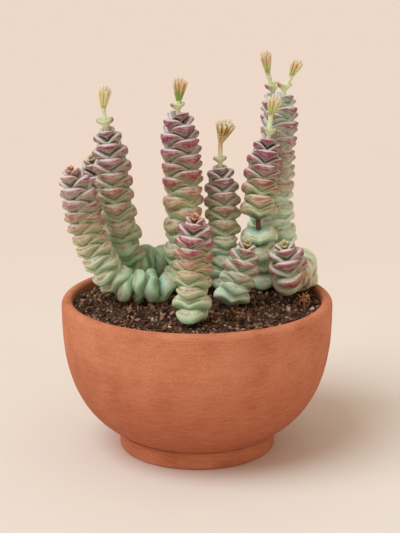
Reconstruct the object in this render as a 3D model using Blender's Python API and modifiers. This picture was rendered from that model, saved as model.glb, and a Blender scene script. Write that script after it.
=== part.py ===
"""A potted crassula: eleven columns of paired fleshy leaves in a terracotta bowl.

Each column is a thin woody core threaded through stacked leaf pairs. A pair is two
opposite leaves grown together round the core, and each pair is turned a quarter turn
from the one below it. Six of the columns end in a small spray of flower buds.

Units are metres, +Z is up and the viewer's side is -Y. The origin is on the surface
that the bowl stands on, under the middle of its foot.
"""

import math

import bmesh
import bpy
import numpy as np
from mathutils import Matrix, Vector

MM = 0.001

# The bowl
BOWL_RADIUS = 60 * MM
BOWL_HEIGHT = 69 * MM
BOWL_WIDEST = 65.8 * MM
BOWL_DEPTH = 63.5 * MM
BOWL_POWER = 2.7
WALL = 4.9 * MM
FLOOR_TOP = 8 * MM
LIP_OUTER_ROUND = 2.9 * MM
LIP_INNER_ROUND = 2.0 * MM
FOOT_RADIUS = 35 * MM
FOOT_HEIGHT = 7 * MM
FOOT_EDGE = 1.2 * MM
FOOT_RING_INNER = 27 * MM
FOOT_RECESS = 2.5 * MM
DRAIN_RADIUS = 5 * MM
SIDES = 36

# The soil
GAP = 0.3 * MM
SOIL_TOP = 65 * MM
SOIL_RELIEF = 0.6 * MM
SOIL_MOUND = 0.8 * MM
ROOT_DEPTH = 8 * MM
ROOT_RADIUS = 1.7 * MM
COLLAR = 2 * MM
HOLE_SIDES = 8

# Heights at which the inside of the bowl bends, from the soil's edge to the floor
INNER_LEVELS = [SOIL_TOP - GAP] + [height * MM for height in (50, 36, 24, 15, 9.5)]

# A leaf pair, in shares of its reach, which is the distance from core to leaf tip. Where
# there are two values, the first is for a crowded pair and the second for an open one
LEAF_WIDTH = 0.80
LEAF_POWER = 2.4
TOP_SWELL = (0.12, 0.20)
KEEL_DEPTH = (0.62, 0.72)
TIP_DEPTH = (0.68, 0.80)
SIDE_DEPTH = (0.10, 0.42)
KEEL_POWER = (1.1, 2.4)
DROOP = (0.04, 0.20)
FOLD_BEND = 1.6
RING_SHARE = 0.95
LOWER_RING = 0.8
PAIR_SEGMENTS = 8
PAIR_RINGS = 3

# The spacing of pairs along a column, which for crowded pairs depends on its tip
PITCH_CROWDED = {"rosette": 2.55 * MM, "flowering": 3.25 * MM}
PITCH_OPEN = 5.5 * MM
PITCH_CHANGE = 6
PITCH_AT_TIP = 0.72
CUP_CROWDED = 0.46
CUP_OPEN = 0.30

# How the leaves shrink towards a growing tip and towards a flowering tip
ROSETTE_SIZES = (0.22, 0.48, 0.70, 0.85, 0.94, 0.98)
ROSETTE_CUPS = (0.9, 1.0, 0.84, 0.68, 0.58, 0.52)
FLOWERING_SIZES = (0.56, 0.74, 0.86, 0.94, 0.98)
FLOWERING_CUPS = (0.70, 0.62, 0.56, 0.51, 0.48)

# Each column: its path from a collar just above the soil to its tip in mm, the reach of
# its full-grown leaves in mm, the turn of its tip pair from the viewer in degrees, the
# number of crowded pairs under the tip, and how far along from the soil its lowest pair
# sits in mm. A pitch in mm replaces the usual spacing of its open pairs, and bare lists
# the pairs that have fallen off, counted from the tip, where the core shows
COLUMNS = {
    "column_outer_left": dict(
        path=[(-12.5, 0, 67), (-14.5, -2, 72), (-19.5, -4.5, 74.5), (-28, -5, 74.5), (-36.5, -6, 78),
              (-43.5, -8, 90), (-48.5, -9.5, 104), (-50.7, -11, 117), (-53.3, -12, 126.5)],
        reach=8.1, turn=-30, crowded=14, lowest=10, tip="rosette"),
    "column_back_left": dict(
        path=[(-37, 27, 67), (-39, 25, 81), (-43, 24, 96), (-46, 22, 110), (-47.3, 20, 125.5)],
        reach=7.4, turn=20, crowded=9, lowest=15, tip="rosette"),
    "column_tall_left": dict(
        path=[(-9, 35, 67), (-10, 32, 72), (-14, 26, 77), (-22, 17.5, 79.5), (-30.3, 10, 82.5),
              (-33, 7, 96), (-35.5, 4, 110), (-37, 2, 127), (-38.7, 0, 140.5)],
        reach=8.2, turn=0, crowded=8, lowest=10, tip="flowering"),
    "column_tall_middle": dict(
        path=[(-6, 10, 67), (-6, 10, 85), (-6, 9, 105), (-6.5, 9, 125), (-8, 9, 146)],
        reach=9.2, turn=32, crowded=8, lowest=7.5, tip="flowering"),
    "column_front": dict(
        path=[(-2, -35, 67), (-2, -34.5, 80), (-1.5, -34, 95), (-0.8, -36, 111)],
        reach=8.2, turn=-14, crowded=9, lowest=6.6, tip="rosette"),
    "column_middle": dict(
        path=[(11.5, 17, 67), (11.5, 17, 85), (11.5, 16, 104), (10.5, 15, 121.5)],
        reach=8.0, turn=10, crowded=7, lowest=6.5, tip="flowering"),
    "column_small_front": dict(
        path=[(15, -9, 67), (15.5, -9, 72), (18, -8.5, 80), (21.5, -9.5, 93.5)],
        reach=7.9, turn=0, crowded=6, lowest=6.2, tip="rosette"),
    "column_tall_right": dict(
        path=[(30, 22, 67), (30, 19, 77), (28, 14, 91), (27.3, 12, 104), (28.9, 12, 120),
              (31, 12, 134.6)],
        reach=8.4, turn=0, crowded=6, pitch=7.6, bare=(10,), lowest=8.6, tip="flowering"),
    "column_back_right": dict(
        path=[(38.5, 33.5, 67), (38.3, 29.8, 85), (36, 27, 105), (36.5, 26, 127),
              (37.4, 25, 143), (38.3, 25, 152.2)],
        reach=8.4, turn=38, crowded=9, lowest=18, tip="flowering"),
    "column_hidden_right": dict(
        path=[(28, 42, 67), (30, 44, 85), (34, 44.5, 110), (36.5, 43, 133), (35, 41, 150)],
        reach=7.6, turn=40, crowded=8, lowest=26, tip="flowering"),
    "column_leaning_right": dict(
        path=[(46, 20, 67), (46.5, 17, 74), (46, 12, 78.7), (44.5, 5, 78.8), (41.9, -0.4, 77.8),
              (40.3, -3, 81.2), (38.5, -4.6, 91.6)],
        reach=8.9, turn=0, crowded=7, lowest=9, tip="rosette"),
}

# Each spray of flower buds: the column it stands on, how far its top leans to the right
# in mm, its stalk's length, how far the buds nod to the right for each mm of their
# length, the number of buds, their length, the spread of their tips and the reach of
# its bracts
SPRAYS = {
    "flowers_tall_left": dict(on="column_tall_left", lean=0.2, stalk=10.5, nod=0.2, buds=6,
                              bud=11.0, spread=3.0, bracts=3.7),
    "flowers_tall_middle": dict(on="column_tall_middle", lean=0.5, stalk=5.8, nod=0,
                                buds=6, bud=11.9, spread=3.6, bracts=3.2),
    "flowers_middle": dict(on="column_middle", lean=0.6, stalk=11.2, nod=0.3, buds=8,
                           bud=12.4, spread=5.2, bracts=2.9),
    "flowers_tall_right": dict(on="column_tall_right", lean=-0.5, stalk=10.5, nod=0.14,
                               buds=6, bud=10.8, spread=3.8, bracts=3.2),
    "flowers_back_right": dict(on="column_back_right", lean=2.4, stalk=8.4, nod=0, buds=6,
                               bud=9.5, spread=3.4, bracts=3.4),
    "flowers_hidden_right": dict(on="column_hidden_right", lean=-1.6, stalk=9.8, nod=0.16,
                                 buds=6, bud=12.4, spread=2.8, bracts=3.7),
}

# The dried remains of an old flower, standing in the soil: place and height in mm
SPRIG_PLACE = (47.4, -7.5)
SPRIG_HEIGHT = 6.5
SPRIG_DEPTH = 4 * MM
SPRIG_RADIUS = 0.6 * MM
SPRIG_LEAVES = 4
SPRIG_LEAF = 3.4

# The core of a column, whose end stays inside the tip pair
CORE_RADIUS = 1.5 * MM
CORE_TIP_SHARE = 0.5
CORE_SPANS = 11
CORE_END = 1.0 * MM
TUBE_BEVEL = 1

# The stalk, bracts and buds of a spray. Buds are spaced by the golden angle in radians,
# and are widest near the top
STALK_FOOT = 1.0 * MM
STALK_MIDDLE = 0.95 * MM
STALK_HEAD = 1.05 * MM
BRACTS_AT = 2.4 * MM
BRACT_CUP = 1.0
BRACT_TURN = 80
BRACT_WRAP = 0.7
GOLDEN_ANGLE = 2.4
BUD_ROOT_DEPTH = 0.8 * MM
BUD_RADIUS = 0.8 * MM
BUD_BASE_SHARE = 0.55
BUD_WIDENING = 0.6
BUD_SHORTER = 0.12

# Colours as linear RGB, and roughness
TERRACOTTA = ((0.52, 0.19, 0.09), 0.85)
SOIL = ((0.10, 0.055, 0.035), 0.95)
LEAF = ((0.30, 0.33, 0.20), 0.55)
BUD = ((0.62, 0.50, 0.22), 0.6)
DRY = ((0.42, 0.20, 0.09), 0.9)


def clear_scene():
    for item in list(bpy.data.objects):
        bpy.data.objects.remove(item, do_unlink=True)


def new_collection(name):
    group = bpy.data.collections.new(name)
    bpy.context.scene.collection.children.link(group)
    return group


def new_material(name, finish):
    colour, roughness = finish
    material = bpy.data.materials.new(name)
    material.use_nodes = True
    shader = material.node_tree.nodes["Principled BSDF"]
    shader.inputs["Base Color"].default_value = (*colour, 1.0)
    shader.inputs["Roughness"].default_value = roughness
    shader.inputs["Metallic"].default_value = 0.0
    return material


def new_object(name, mesh, group, material=None):
    item = bpy.data.objects.new(name, mesh)
    group.objects.link(item)
    if material:
        mesh.materials.clear()
        mesh.materials.append(material)
    return item


def evaluated_mesh(item):
    """The mesh that the viewport shows for an object, as a mesh of its own."""
    graph = bpy.context.evaluated_depsgraph_get()
    return bpy.data.meshes.new_from_object(item.evaluated_get(graph))


def quarter_arc(centre, radius, start, steps):
    """Points of a quarter circle in a profile, turning clockwise from an angle."""
    angles = [math.radians(start - 90 * step / steps) for step in range(steps + 1)]
    return [(centre[0] + radius * math.cos(a), centre[1] + radius * math.sin(a))
            for a in angles]


def bowl_curve(radius, depth, height):
    """Radius of the bowl's superellipse at a height below its widest level."""
    drop = max(0.0, (BOWL_WIDEST - height) / depth)
    return radius * (1 - min(1.0, drop) ** BOWL_POWER) ** (1 / BOWL_POWER)


def bowl_points(radius, depth, levels):
    return [(bowl_curve(radius, depth, level), level) for level in levels]


def turned(name, profile, closed, sides, group, material):
    """A profile in the XZ plane turned about Z with a Screw modifier."""
    shape = bmesh.new()
    corners = [shape.verts.new((x, 0, z)) for x, z in profile]
    for first, second in zip(corners, corners[1:]):
        shape.edges.new((first, second))
    if closed:
        shape.edges.new((corners[-1], corners[0]))
    mesh = bpy.data.meshes.new(name)
    shape.to_mesh(mesh)
    shape.free()
    item = new_object(name, mesh, group, material)
    screw = item.modifiers.new("turn", "SCREW")
    screw.axis = "Z"
    screw.angle = math.tau
    screw.steps = sides
    screw.render_steps = sides
    screw.use_merge_vertices = True
    screw.merge_threshold = 0.01 * MM
    screw.use_smooth_shade = True
    return item


def make_bowl(group, material):
    outer_levels = [height * MM for height in (55, 43, 31, 20, 12)]
    lip_centre = (BOWL_RADIUS - LIP_OUTER_ROUND, BOWL_HEIGHT - LIP_OUTER_ROUND)
    inner_centre = (BOWL_RADIUS - WALL + LIP_INNER_ROUND, BOWL_HEIGHT - LIP_INNER_ROUND)
    outer = quarter_arc(lip_centre, LIP_OUTER_ROUND, 90, 2)
    outer += bowl_points(BOWL_RADIUS, BOWL_DEPTH, outer_levels)
    foot = [(FOOT_RADIUS, FOOT_HEIGHT), (FOOT_RADIUS, FOOT_EDGE),
            (FOOT_RADIUS - FOOT_EDGE, 0), (FOOT_RING_INNER, 0),
            (FOOT_RING_INNER - FOOT_EDGE, FOOT_RECESS), (DRAIN_RADIUS, FOOT_RECESS)]
    inner = [(DRAIN_RADIUS, FLOOR_TOP)]
    inner += bowl_points(BOWL_RADIUS - WALL, BOWL_DEPTH - WALL, reversed(INNER_LEVELS))
    lip = quarter_arc(inner_centre, LIP_INNER_ROUND, 180, 1)
    return turned("terracotta_bowl", outer + foot + inner + lip, True, SIDES,
                  group, material)


def soil_height(x, y):
    """Height of the soil's surface: a low mound with gentle rolls, level at the wall."""
    edge = 1 - (math.hypot(x, y) / (BOWL_RADIUS - WALL)) ** 4
    rolls = math.sin(x / (7 * MM) + 1.1) * math.cos(y / (6 * MM) - 0.4)
    rolls += 0.6 * math.sin((x + y) / (4 * MM) + 2.0)
    return SOIL_TOP + edge * (SOIL_MOUND + SOIL_RELIEF * rolls / 1.6)


def make_soil(group, cutters, material):
    profile = [(share * BOWL_RADIUS, SOIL_TOP) for share in (0, 0.2, 0.4, 0.6, 0.78)]
    wall = bowl_points(BOWL_RADIUS - WALL, BOWL_DEPTH - WALL, INNER_LEVELS)
    wall.append((DRAIN_RADIUS, FLOOR_TOP))
    profile += [(radius - GAP, height + GAP) for radius, height in wall]
    profile.append((0, FLOOR_TOP + GAP))
    rough = turned("soil_blank", profile, False, SIDES, group, None)
    mesh = evaluated_mesh(rough)
    bpy.data.objects.remove(rough, do_unlink=True)
    for corner in mesh.vertices:
        if corner.co.z > SOIL_TOP - 0.01 * MM:
            corner.co.z = soil_height(corner.co.x, corner.co.y)
    soil = new_object("potting_soil", mesh, group, material)
    for column in COLUMNS.values():
        cut_hole(*column["path"][0][:2], ROOT_RADIUS, ROOT_DEPTH, cutters)
    cut_hole(*SPRIG_PLACE, SPRIG_RADIUS, SPRIG_DEPTH, cutters)
    holes = soil.modifiers.new("holes", "BOOLEAN")
    holes.operation = "DIFFERENCE"
    holes.operand_type = "COLLECTION"
    holes.collection = cutters
    return soil


def cut_hole(x, y, radius, depth, cutters):
    """A plain upright cylinder that cuts the hole of one root, at a place in mm."""
    shape = bmesh.new()
    wide = (radius + GAP) / math.cos(math.pi / HOLE_SIDES)
    bmesh.ops.create_cone(shape, cap_ends=True, segments=HOLE_SIDES, radius1=wide,
                          radius2=wide, depth=2 * (depth + GAP))
    mesh = bpy.data.meshes.new("root_hole")
    shape.to_mesh(mesh)
    shape.free()
    cutter = new_object("root_hole", mesh, cutters)
    cutter.location = (x * MM, y * MM, SOIL_TOP)
    cutter.hide_render = True
    cutter.display_type = "WIRE"
    return cutter


def smooth_path(points, steps=24):
    """A Catmull-Rom curve through the points, as closely spaced points."""
    given = np.array(points, float) * MM
    ends = np.vstack([2 * given[0] - given[1], given, 2 * given[-1] - given[-2]])
    share = np.linspace(0, 1, steps, endpoint=False)[:, None]
    spans = []
    for a, b, c, d in zip(ends, ends[1:], ends[2:], ends[3:]):
        spans.append(0.5 * (2 * b + (c - a) * share + (2 * a - 5 * b + 4 * c - d) * share ** 2
                            + (3 * b - a - 3 * c + d) * share ** 3))
    return np.vstack(spans + [given[-1:]])


def along(path, distance):
    """Point and direction at a distance from a path's start."""
    steps = np.linalg.norm(np.diff(path, axis=0), axis=1)
    travel = np.concatenate([[0], np.cumsum(steps)])
    spot = [np.interp(distance, travel, path[:, axis]) for axis in range(3)]
    span = min(int(np.searchsorted(travel, distance, side="right")), len(steps))
    heading = path[span] - path[span - 1]
    return Vector(spot), Vector(heading).normalized()


def path_length(path):
    return float(np.linalg.norm(np.diff(path, axis=0), axis=1).sum())


def smooth_step(value):
    value = min(1.0, max(0.0, value))
    return value * value * (3 - 2 * value)


def pair_frame(spot, heading, turn):
    """A matrix whose Z runs along the core and whose X runs along the leaf pair."""
    facing = Vector((0, -1, 0))
    facing = (facing - heading * facing.dot(heading)).normalized()
    side = heading.cross(facing)
    long_way = facing * math.cos(turn) + side * math.sin(turn)
    across = heading.cross(long_way)
    frame = Matrix((long_way, across, heading)).transposed().to_4x4()
    frame.translation = spot
    return frame


def young_to_old(sizes, opened):
    """A size between its value in a crowded pair and its value in an open one."""
    return sizes[0] + (sizes[1] - sizes[0]) * opened


def fold_height(out, cup, opened):
    """How far a leaf pair is folded up at a share of its reach from the core."""
    fold = cup * math.tanh(FOLD_BEND * abs(out)) / math.tanh(FOLD_BEND)
    return fold - young_to_old(DROOP, opened) * out ** 4


def leaf_pair(name, frame, reach, cup, opened, group, wrap=0.0):
    """Two opposite leaves grown into one body: a sphere's points moved by a formula.

    Seen along the core the outline is a long superellipse. Its two rings of points are
    the upper and the lower edge of the margin, which is deep at the tips and thin at the
    sides. The poles are the swell on top and the keel underneath. The whole is folded up
    on both sides of the line between the two leaves, and wrap folds that line up too.
    """
    tip, side = young_to_old(TIP_DEPTH, opened), young_to_old(SIDE_DEPTH, opened)
    power = young_to_old(KEEL_POWER, opened)
    shape = bmesh.new()
    bmesh.ops.create_uvsphere(shape, u_segments=PAIR_SEGMENTS, v_segments=PAIR_RINGS, radius=1)
    for corner in shape.verts:
        x, y, z = corner.co
        at_pole = math.hypot(x, y) < 0.1
        turn = math.atan2(y, x)
        outline = (abs(math.cos(turn)) ** LEAF_POWER
                   + abs(math.sin(turn) / LEAF_WIDTH) ** LEAF_POWER) ** (-1 / LEAF_POWER)
        across = min(1.0, outline * abs(math.sin(turn)) / LEAF_WIDTH)
        depth = tip - (tip - side) * across ** power
        spread = 0 if at_pole else outline * RING_SHARE
        if z > 0:
            rise = young_to_old(TOP_SWELL, opened) if at_pole else 0
        else:
            rise = -young_to_old(KEEL_DEPTH, opened) if at_pole else -depth * LOWER_RING
        out = spread * math.cos(turn)
        beside = spread * math.sin(turn)
        rise += fold_height(math.hypot(out, wrap * beside), cup, opened)
        corner.co = (out * reach, beside * reach, rise * reach)
    bmesh.ops.transform(shape, matrix=frame, verts=shape.verts)
    mesh = bpy.data.meshes.new(name)
    shape.to_mesh(mesh)
    shape.free()
    return new_object(name, mesh, group)


def tube(name, points, radii, group):
    """A round tube along points, as a closed mesh."""
    curve = bpy.data.curves.new(name, "CURVE")
    curve.dimensions = "3D"
    curve.bevel_depth = 1.0
    curve.bevel_resolution = TUBE_BEVEL
    curve.use_fill_caps = True
    line = curve.splines.new("POLY")
    line.points.add(len(points) - 1)
    for knot, spot, radius in zip(line.points, points, radii):
        knot.co = (*spot, 1.0)
        knot.radius = radius
    drawn = new_object(name, curve, group)
    mesh = evaluated_mesh(drawn)
    bpy.data.objects.remove(drawn, do_unlink=True)
    weld(mesh)
    return new_object(name, mesh, group)


def weld(mesh):
    shape = bmesh.new()
    shape.from_mesh(mesh)
    bmesh.ops.remove_doubles(shape, verts=shape.verts, dist=0.001 * MM)
    shape.to_mesh(mesh)
    shape.free()


def outer_shell(mesh):
    """Drop the inner shells of hollows that the union sealed, and any loose scrap."""
    shape = bmesh.new()
    shape.from_mesh(mesh)
    bmesh.ops.remove_doubles(shape, verts=shape.verts, dist=0.001 * MM)
    left = set(shape.verts)
    shells = []
    while left:
        shell, front = set(), [left.pop()]
        while front:
            corner = front.pop()
            shell.add(corner)
            for edge in corner.link_edges:
                other = edge.other_vert(corner)
                if other in left:
                    left.discard(other)
                    front.append(other)
        shells.append(shell)
    shells.sort(key=len)
    for shell in shells[:-1]:
        bmesh.ops.delete(shape, geom=list(shell), context="VERTS")
    bmesh.ops.triangulate(shape, faces=shape.faces)
    shape.to_mesh(mesh)
    shape.free()


def fuse(name, base, extras, group, material):
    """Join a base object and a collection's objects into one body."""
    join = base.modifiers.new("join", "BOOLEAN")
    join.operation = "UNION"
    join.operand_type = "COLLECTION"
    join.collection = extras
    mesh = evaluated_mesh(base)
    for item in list(extras.objects) + [base]:
        bpy.data.objects.remove(item, do_unlink=True)
    bpy.data.collections.remove(extras)
    outer_shell(mesh)
    mesh.name = name
    return new_object(name, mesh, group, material)


def column_path(column):
    x, y, z = column["path"][0]
    root = (x, y, z - (ROOT_DEPTH + COLLAR) / MM)
    return np.vstack([np.array([root], float) * MM, smooth_path(column["path"])])


def pair_places(column):
    """Distance from the root's end, size, cup and openness of pairs, from the tip down."""
    path = column_path(column)
    rosette = column["tip"] == "rosette"
    sizes = ROSETTE_SIZES if rosette else FLOWERING_SIZES
    cups = ROSETTE_CUPS if rosette else FLOWERING_CUPS
    tip = path_length(path)
    lowest = ROOT_DEPTH + column["lowest"] * MM
    distance = tip
    places = []
    while distance > lowest - PITCH_OPEN / 2:
        count = len(places)
        opened = smooth_step((count - column["crowded"]) / PITCH_CHANGE)
        size = sizes[count] if count < len(sizes) else 1.0
        crowded_cup = cups[count] if count < len(cups) else CUP_CROWDED
        cup = crowded_cup + (CUP_OPEN - crowded_cup) * opened
        places.append((distance, size, cup, opened))
        crowded, far = PITCH_CROWDED[column["tip"]], column.get("pitch", PITCH_OPEN / MM) * MM
        pitch = crowded + (far - crowded) * opened
        distance -= pitch * (PITCH_AT_TIP + (1 - PITCH_AT_TIP) * size)
    stretch = (tip - lowest) / (tip - places[-1][0])
    return path, [(tip - (tip - place[0]) * stretch, *place[1:]) for place in places]


def make_column(name, column, group, material):
    path, places = pair_places(column)
    pairs = new_collection(name + "_pairs")
    reach = column["reach"] * MM
    for count, (distance, size, cup, opened) in enumerate(places):
        if count in column.get("bare", ()):
            continue
        spot, heading = along(path, distance)
        turn = math.radians(column["turn"] + 90 * count)
        frame = pair_frame(spot, heading, turn)
        leaf_pair(f"pair_{count}", frame, reach * size, cup, opened, pairs)
    top = places[0][0] - CORE_END
    collar = ROOT_DEPTH + COLLAR
    shares = np.linspace(0, 1, CORE_SPANS + 1)[1:]
    marks = np.concatenate([[0, collar], collar + (top - collar) * shares])
    spots = [along(path, mark)[0] for mark in marks]
    radii = [ROOT_RADIUS, ROOT_RADIUS]
    radii += [CORE_RADIUS * (1 - (1 - CORE_TIP_SHARE) * share) for share in shares]
    core = tube(name + "_core", spots, radii, group)
    return fuse(name, core, pairs, group, material)


def bud(name, start, heading, length, group):
    """One slender bud: a club that widens along its length and closes to a blunt tip."""
    shape = bmesh.new()
    bmesh.ops.create_uvsphere(shape, u_segments=4, v_segments=3, radius=1)
    for corner in shape.verts:
        share = (corner.co.z + 1) / 2
        width = BUD_RADIUS * (BUD_BASE_SHARE + BUD_WIDENING * share)
        corner.co = (corner.co.x * width, corner.co.y * width, share * length)
    frame = heading.to_track_quat("Z", "Y").to_matrix().to_4x4()
    frame.translation = start
    bmesh.ops.transform(shape, matrix=frame, verts=shape.verts)
    mesh = bpy.data.meshes.new(name)
    shape.to_mesh(mesh)
    shape.free()
    return new_object(name, mesh, group)


def make_spray(name, spray, group, material):
    """A stalk with a pair of bracts, and buds that fan out from its top."""
    column = COLUMNS[spray["on"]]
    path, places = pair_places(column)
    distance, size, cup, opened = places[0]
    foot, heading = along(path, distance)
    reach = column["reach"] * size * MM
    seat = reach * (TOP_SWELL[0] + fold_height(STALK_FOOT / reach, cup, opened))
    foot = foot + heading * (seat + GAP)
    lean = Vector((spray["lean"], 0, 0)) * MM
    top = foot + heading * spray["stalk"] * MM + lean
    parts = new_collection(name + "_parts")
    bract_spot = foot + heading * BRACTS_AT
    stalk = tube(name + "_stalk", [foot, bract_spot, top],
                 [STALK_FOOT, STALK_MIDDLE, STALK_HEAD], group)
    frame = pair_frame(bract_spot, heading, math.radians(column["turn"] + BRACT_TURN))
    leaf_pair("bracts", frame, spray["bracts"] * MM, BRACT_CUP, 0.0, parts, BRACT_WRAP)
    direction = ((top - bract_spot).normalized() + Vector((spray["nod"], 0, 0))).normalized()
    for count in range(spray["buds"]):
        angle = count * GOLDEN_ANGLE
        share = math.sqrt((count + 0.5) / spray["buds"])
        offset = Vector((math.cos(angle), math.sin(angle), 0)) * share * spray["spread"] * MM
        aim = direction * spray["bud"] * MM + offset
        length = spray["bud"] * MM * (1.0 - BUD_SHORTER * (count % 3))
        start = top - direction * BUD_ROOT_DEPTH
        bud(f"bud_{count}", start, aim.normalized(), length, parts)
    return fuse(name, stalk, parts, group, material)


def make_sprig(group, material):
    """A dried flower stalk with a few shrivelled leaves curling out of its top."""
    x, y = SPRIG_PLACE
    foot = Vector((x, y, 0)) * MM + Vector((0, 0, SOIL_TOP - SPRIG_DEPTH))
    top = foot + Vector((-0.5 * MM, 0, SPRIG_DEPTH + SPRIG_HEIGHT * MM))
    neck = foot + Vector((0, 0, SPRIG_DEPTH + COLLAR))
    crown = top - Vector((0, 0, SPRIG_RADIUS))
    parts = new_collection("dried_sprig_parts")
    stalk = tube("dried_sprig_stalk", [foot, neck, top], [SPRIG_RADIUS] * 3, group)
    for count in range(SPRIG_LEAVES):
        angle = math.tau * count / SPRIG_LEAVES
        aim = Vector((math.cos(angle), math.sin(angle), 0.3 + 0.5 * (count % 2)))
        bud(f"dry_leaf_{count}", crown, aim.normalized(), SPRIG_LEAF * MM, parts)
    return fuse("dried_sprig", stalk, parts, group, material)


def main():
    clear_scene()
    plant = new_collection("potted_crassula")
    cutters = new_collection("root_holes")
    clay = new_material("terracotta", TERRACOTTA)
    earth = new_material("soil", SOIL)
    flesh = new_material("leaf", LEAF)
    blossom = new_material("bud", BUD)
    dry = new_material("dried_flower", DRY)
    make_bowl(plant, clay)
    make_soil(plant, cutters, earth)
    for name, column in COLUMNS.items():
        make_column(name, column, plant, flesh)
    for name, spray in SPRAYS.items():
        make_spray(name, spray, plant, blossom)
    make_sprig(plant, dry)


main()
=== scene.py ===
# %% [markdown]
# # A potted crassula, dressed for a portrait
#
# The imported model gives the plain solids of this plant: a terracotta bowl, its soil,
# eleven leafy stems and six sprays of buds. This lesson replaces each of them with a
# finer surface of the same form, and gives every surface a finish of its own.
#
# Nearly every shape here is a formula on a grid of two parameters, worked out with
# numpy for all its points at once. Lengths in the tables are millimetres, and MM
# turns them into the metres that Blender uses.

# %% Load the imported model
import math

import bpy
import numpy as np
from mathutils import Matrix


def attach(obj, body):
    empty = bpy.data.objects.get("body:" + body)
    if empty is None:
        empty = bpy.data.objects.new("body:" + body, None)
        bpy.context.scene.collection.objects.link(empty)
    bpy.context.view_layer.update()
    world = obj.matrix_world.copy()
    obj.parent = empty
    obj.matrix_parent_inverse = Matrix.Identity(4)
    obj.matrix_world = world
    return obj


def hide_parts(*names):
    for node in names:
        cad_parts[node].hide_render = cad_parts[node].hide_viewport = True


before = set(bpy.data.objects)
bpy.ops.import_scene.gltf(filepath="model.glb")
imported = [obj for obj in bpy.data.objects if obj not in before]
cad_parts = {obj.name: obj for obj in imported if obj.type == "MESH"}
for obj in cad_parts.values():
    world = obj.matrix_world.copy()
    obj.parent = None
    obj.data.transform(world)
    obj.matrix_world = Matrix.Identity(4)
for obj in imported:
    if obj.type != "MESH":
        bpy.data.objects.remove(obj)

MM = 0.001
UP = np.array([0.0, 0.0, 1.0])
FRONT = np.array([0.0, -1.0, 0.0])
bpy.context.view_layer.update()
print("nodes to dress:", len(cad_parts))

# %% [markdown]
# ## The camera
#
# The photograph was taken from a little above the rim, from about half a metre away.
# The rim, the widest line and the foot of the bowl are all circles, so the shapes of
# their three ellipses give the height, the distance and the tilt of the camera.

# %% The camera
CAMERA_PLACE = (1.3 * MM, -611.5 * MM, 244.5 * MM)
CAMERA_TILT = math.radians(75.13)
CAMERA_LENS = 96.72
CAMERA_SENSOR = 36.0


def add_camera():
    """One camera that looks along +Y and down, with no shift and no blur."""
    lens = bpy.data.cameras.new("camera")
    lens.lens = CAMERA_LENS
    lens.sensor_width = CAMERA_SENSOR
    camera = bpy.data.objects.new("camera", lens)
    camera.location = CAMERA_PLACE
    camera.rotation_euler = (CAMERA_TILT, 0, 0)
    bpy.context.scene.collection.objects.link(camera)
    bpy.context.scene.camera = camera
    return camera


camera = add_camera()
print("camera at", [round(value / MM) for value in camera.location], "mm")

# %% [markdown]
# ## Light and floor
#
# The shadow on the floor falls to the right and a little back, and its edge is as wide
# as half the bowl. So the main light stands high on the left, and it is as broad as a
# window: a sun lamp with a wide angle gives the same light all over a large floor.
# The rest of the room fills the shadow with a warmer tone, which is the world's colour.
# A floor that runs far back is enough for a background with no line in it.

# %% Light and floor
LIGHT_HEIGHT = math.radians(55)
LIGHT_TURN = math.radians(33)
LIGHT_WIDTH = math.radians(42)
KEY_COLOUR = (0.80, 0.90, 1.0)
KEY_STRENGTH = 2.0
FILL_COLOUR = (0.613, 0.527, 0.439)
FILL_STRENGTH = 1.0
FLOOR_REACH = 20.0
FLOOR_NEAR = (0.845, 0.765, 0.675)
FLOOR_FAR = (0.84, 0.694, 0.597)


def add_light():
    """A broad sun from the upper left front, and a warm fill from everywhere."""
    lamp = bpy.data.lights.new("window", "SUN")
    lamp.energy = KEY_STRENGTH
    lamp.angle = LIGHT_WIDTH
    lamp.color = KEY_COLOUR
    sun = bpy.data.objects.new("window", lamp)
    sun.rotation_euler = (math.pi / 2 - LIGHT_HEIGHT, 0, LIGHT_TURN - math.pi / 2)
    bpy.context.scene.collection.objects.link(sun)
    room = bpy.data.worlds.new("room")
    room.use_nodes = True
    backing = room.node_tree.nodes["Background"]
    backing.inputs["Color"].default_value = (*FILL_COLOUR, 1)
    backing.inputs["Strength"].default_value = FILL_STRENGTH
    bpy.context.scene.world = room
    bpy.context.scene.view_settings.view_transform = "Standard"


add_light()

# %% [markdown]
# ## Tools for surfaces
#
# A grid of points becomes a mesh by joining each point to its neighbours. Two kinds are
# enough here: a ring of rings, closed both ways, for the bowl, and balls with a pole at
# either end. A leaf pair, a stalk, a bud and a crumb are all such balls, and a whole
# array of them makes one mesh.

# %% Surface tools
def unit(vectors):
    """Vectors brought to a length of 1 along their last axis."""
    return vectors / np.linalg.norm(vectors, axis=-1, keepdims=True)


def round_steps(sides):
    """Equal steps of angle round a circle."""
    return math.tau * np.arange(sides) / sides


def swept(radius, height, sides):
    """Points of a profile swept round Z: (r cos a, r sin a, z) at each angle a."""
    angle = round_steps(sides)
    return np.stack(np.broadcast_arrays(radius * np.cos(angle), radius * np.sin(angle), height),
                    axis=-1)


def wrap_faces(rows, columns, closed=False):
    """Quads of a grid whose columns close in a ring, and whose rows do too if closed."""
    row, column = np.meshgrid(np.arange(rows - 1 + closed), np.arange(columns), indexing="ij")
    below, beside = (row + 1) % rows, (column + 1) % columns
    corners = [row * columns + column, below * columns + column,
               below * columns + beside, row * columns + beside]
    return np.stack(corners, axis=-1).reshape(-1, 4)


def ball_faces(rows, columns):
    """Faces of a ball: point 0 is the first pole, then the rings, then the last pole."""
    around = np.arange(columns)
    beside = (around + 1) % columns
    last = rows * columns + 1
    end = 1 + (rows - 1) * columns
    first_cap = np.stack([np.zeros_like(around), 1 + around, 1 + beside], axis=-1)
    last_cap = np.stack([end + around, np.full_like(around, last), end + beside], axis=-1)
    return wrap_faces(rows, columns) + 1, np.vstack([first_cap, last_cap])


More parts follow.
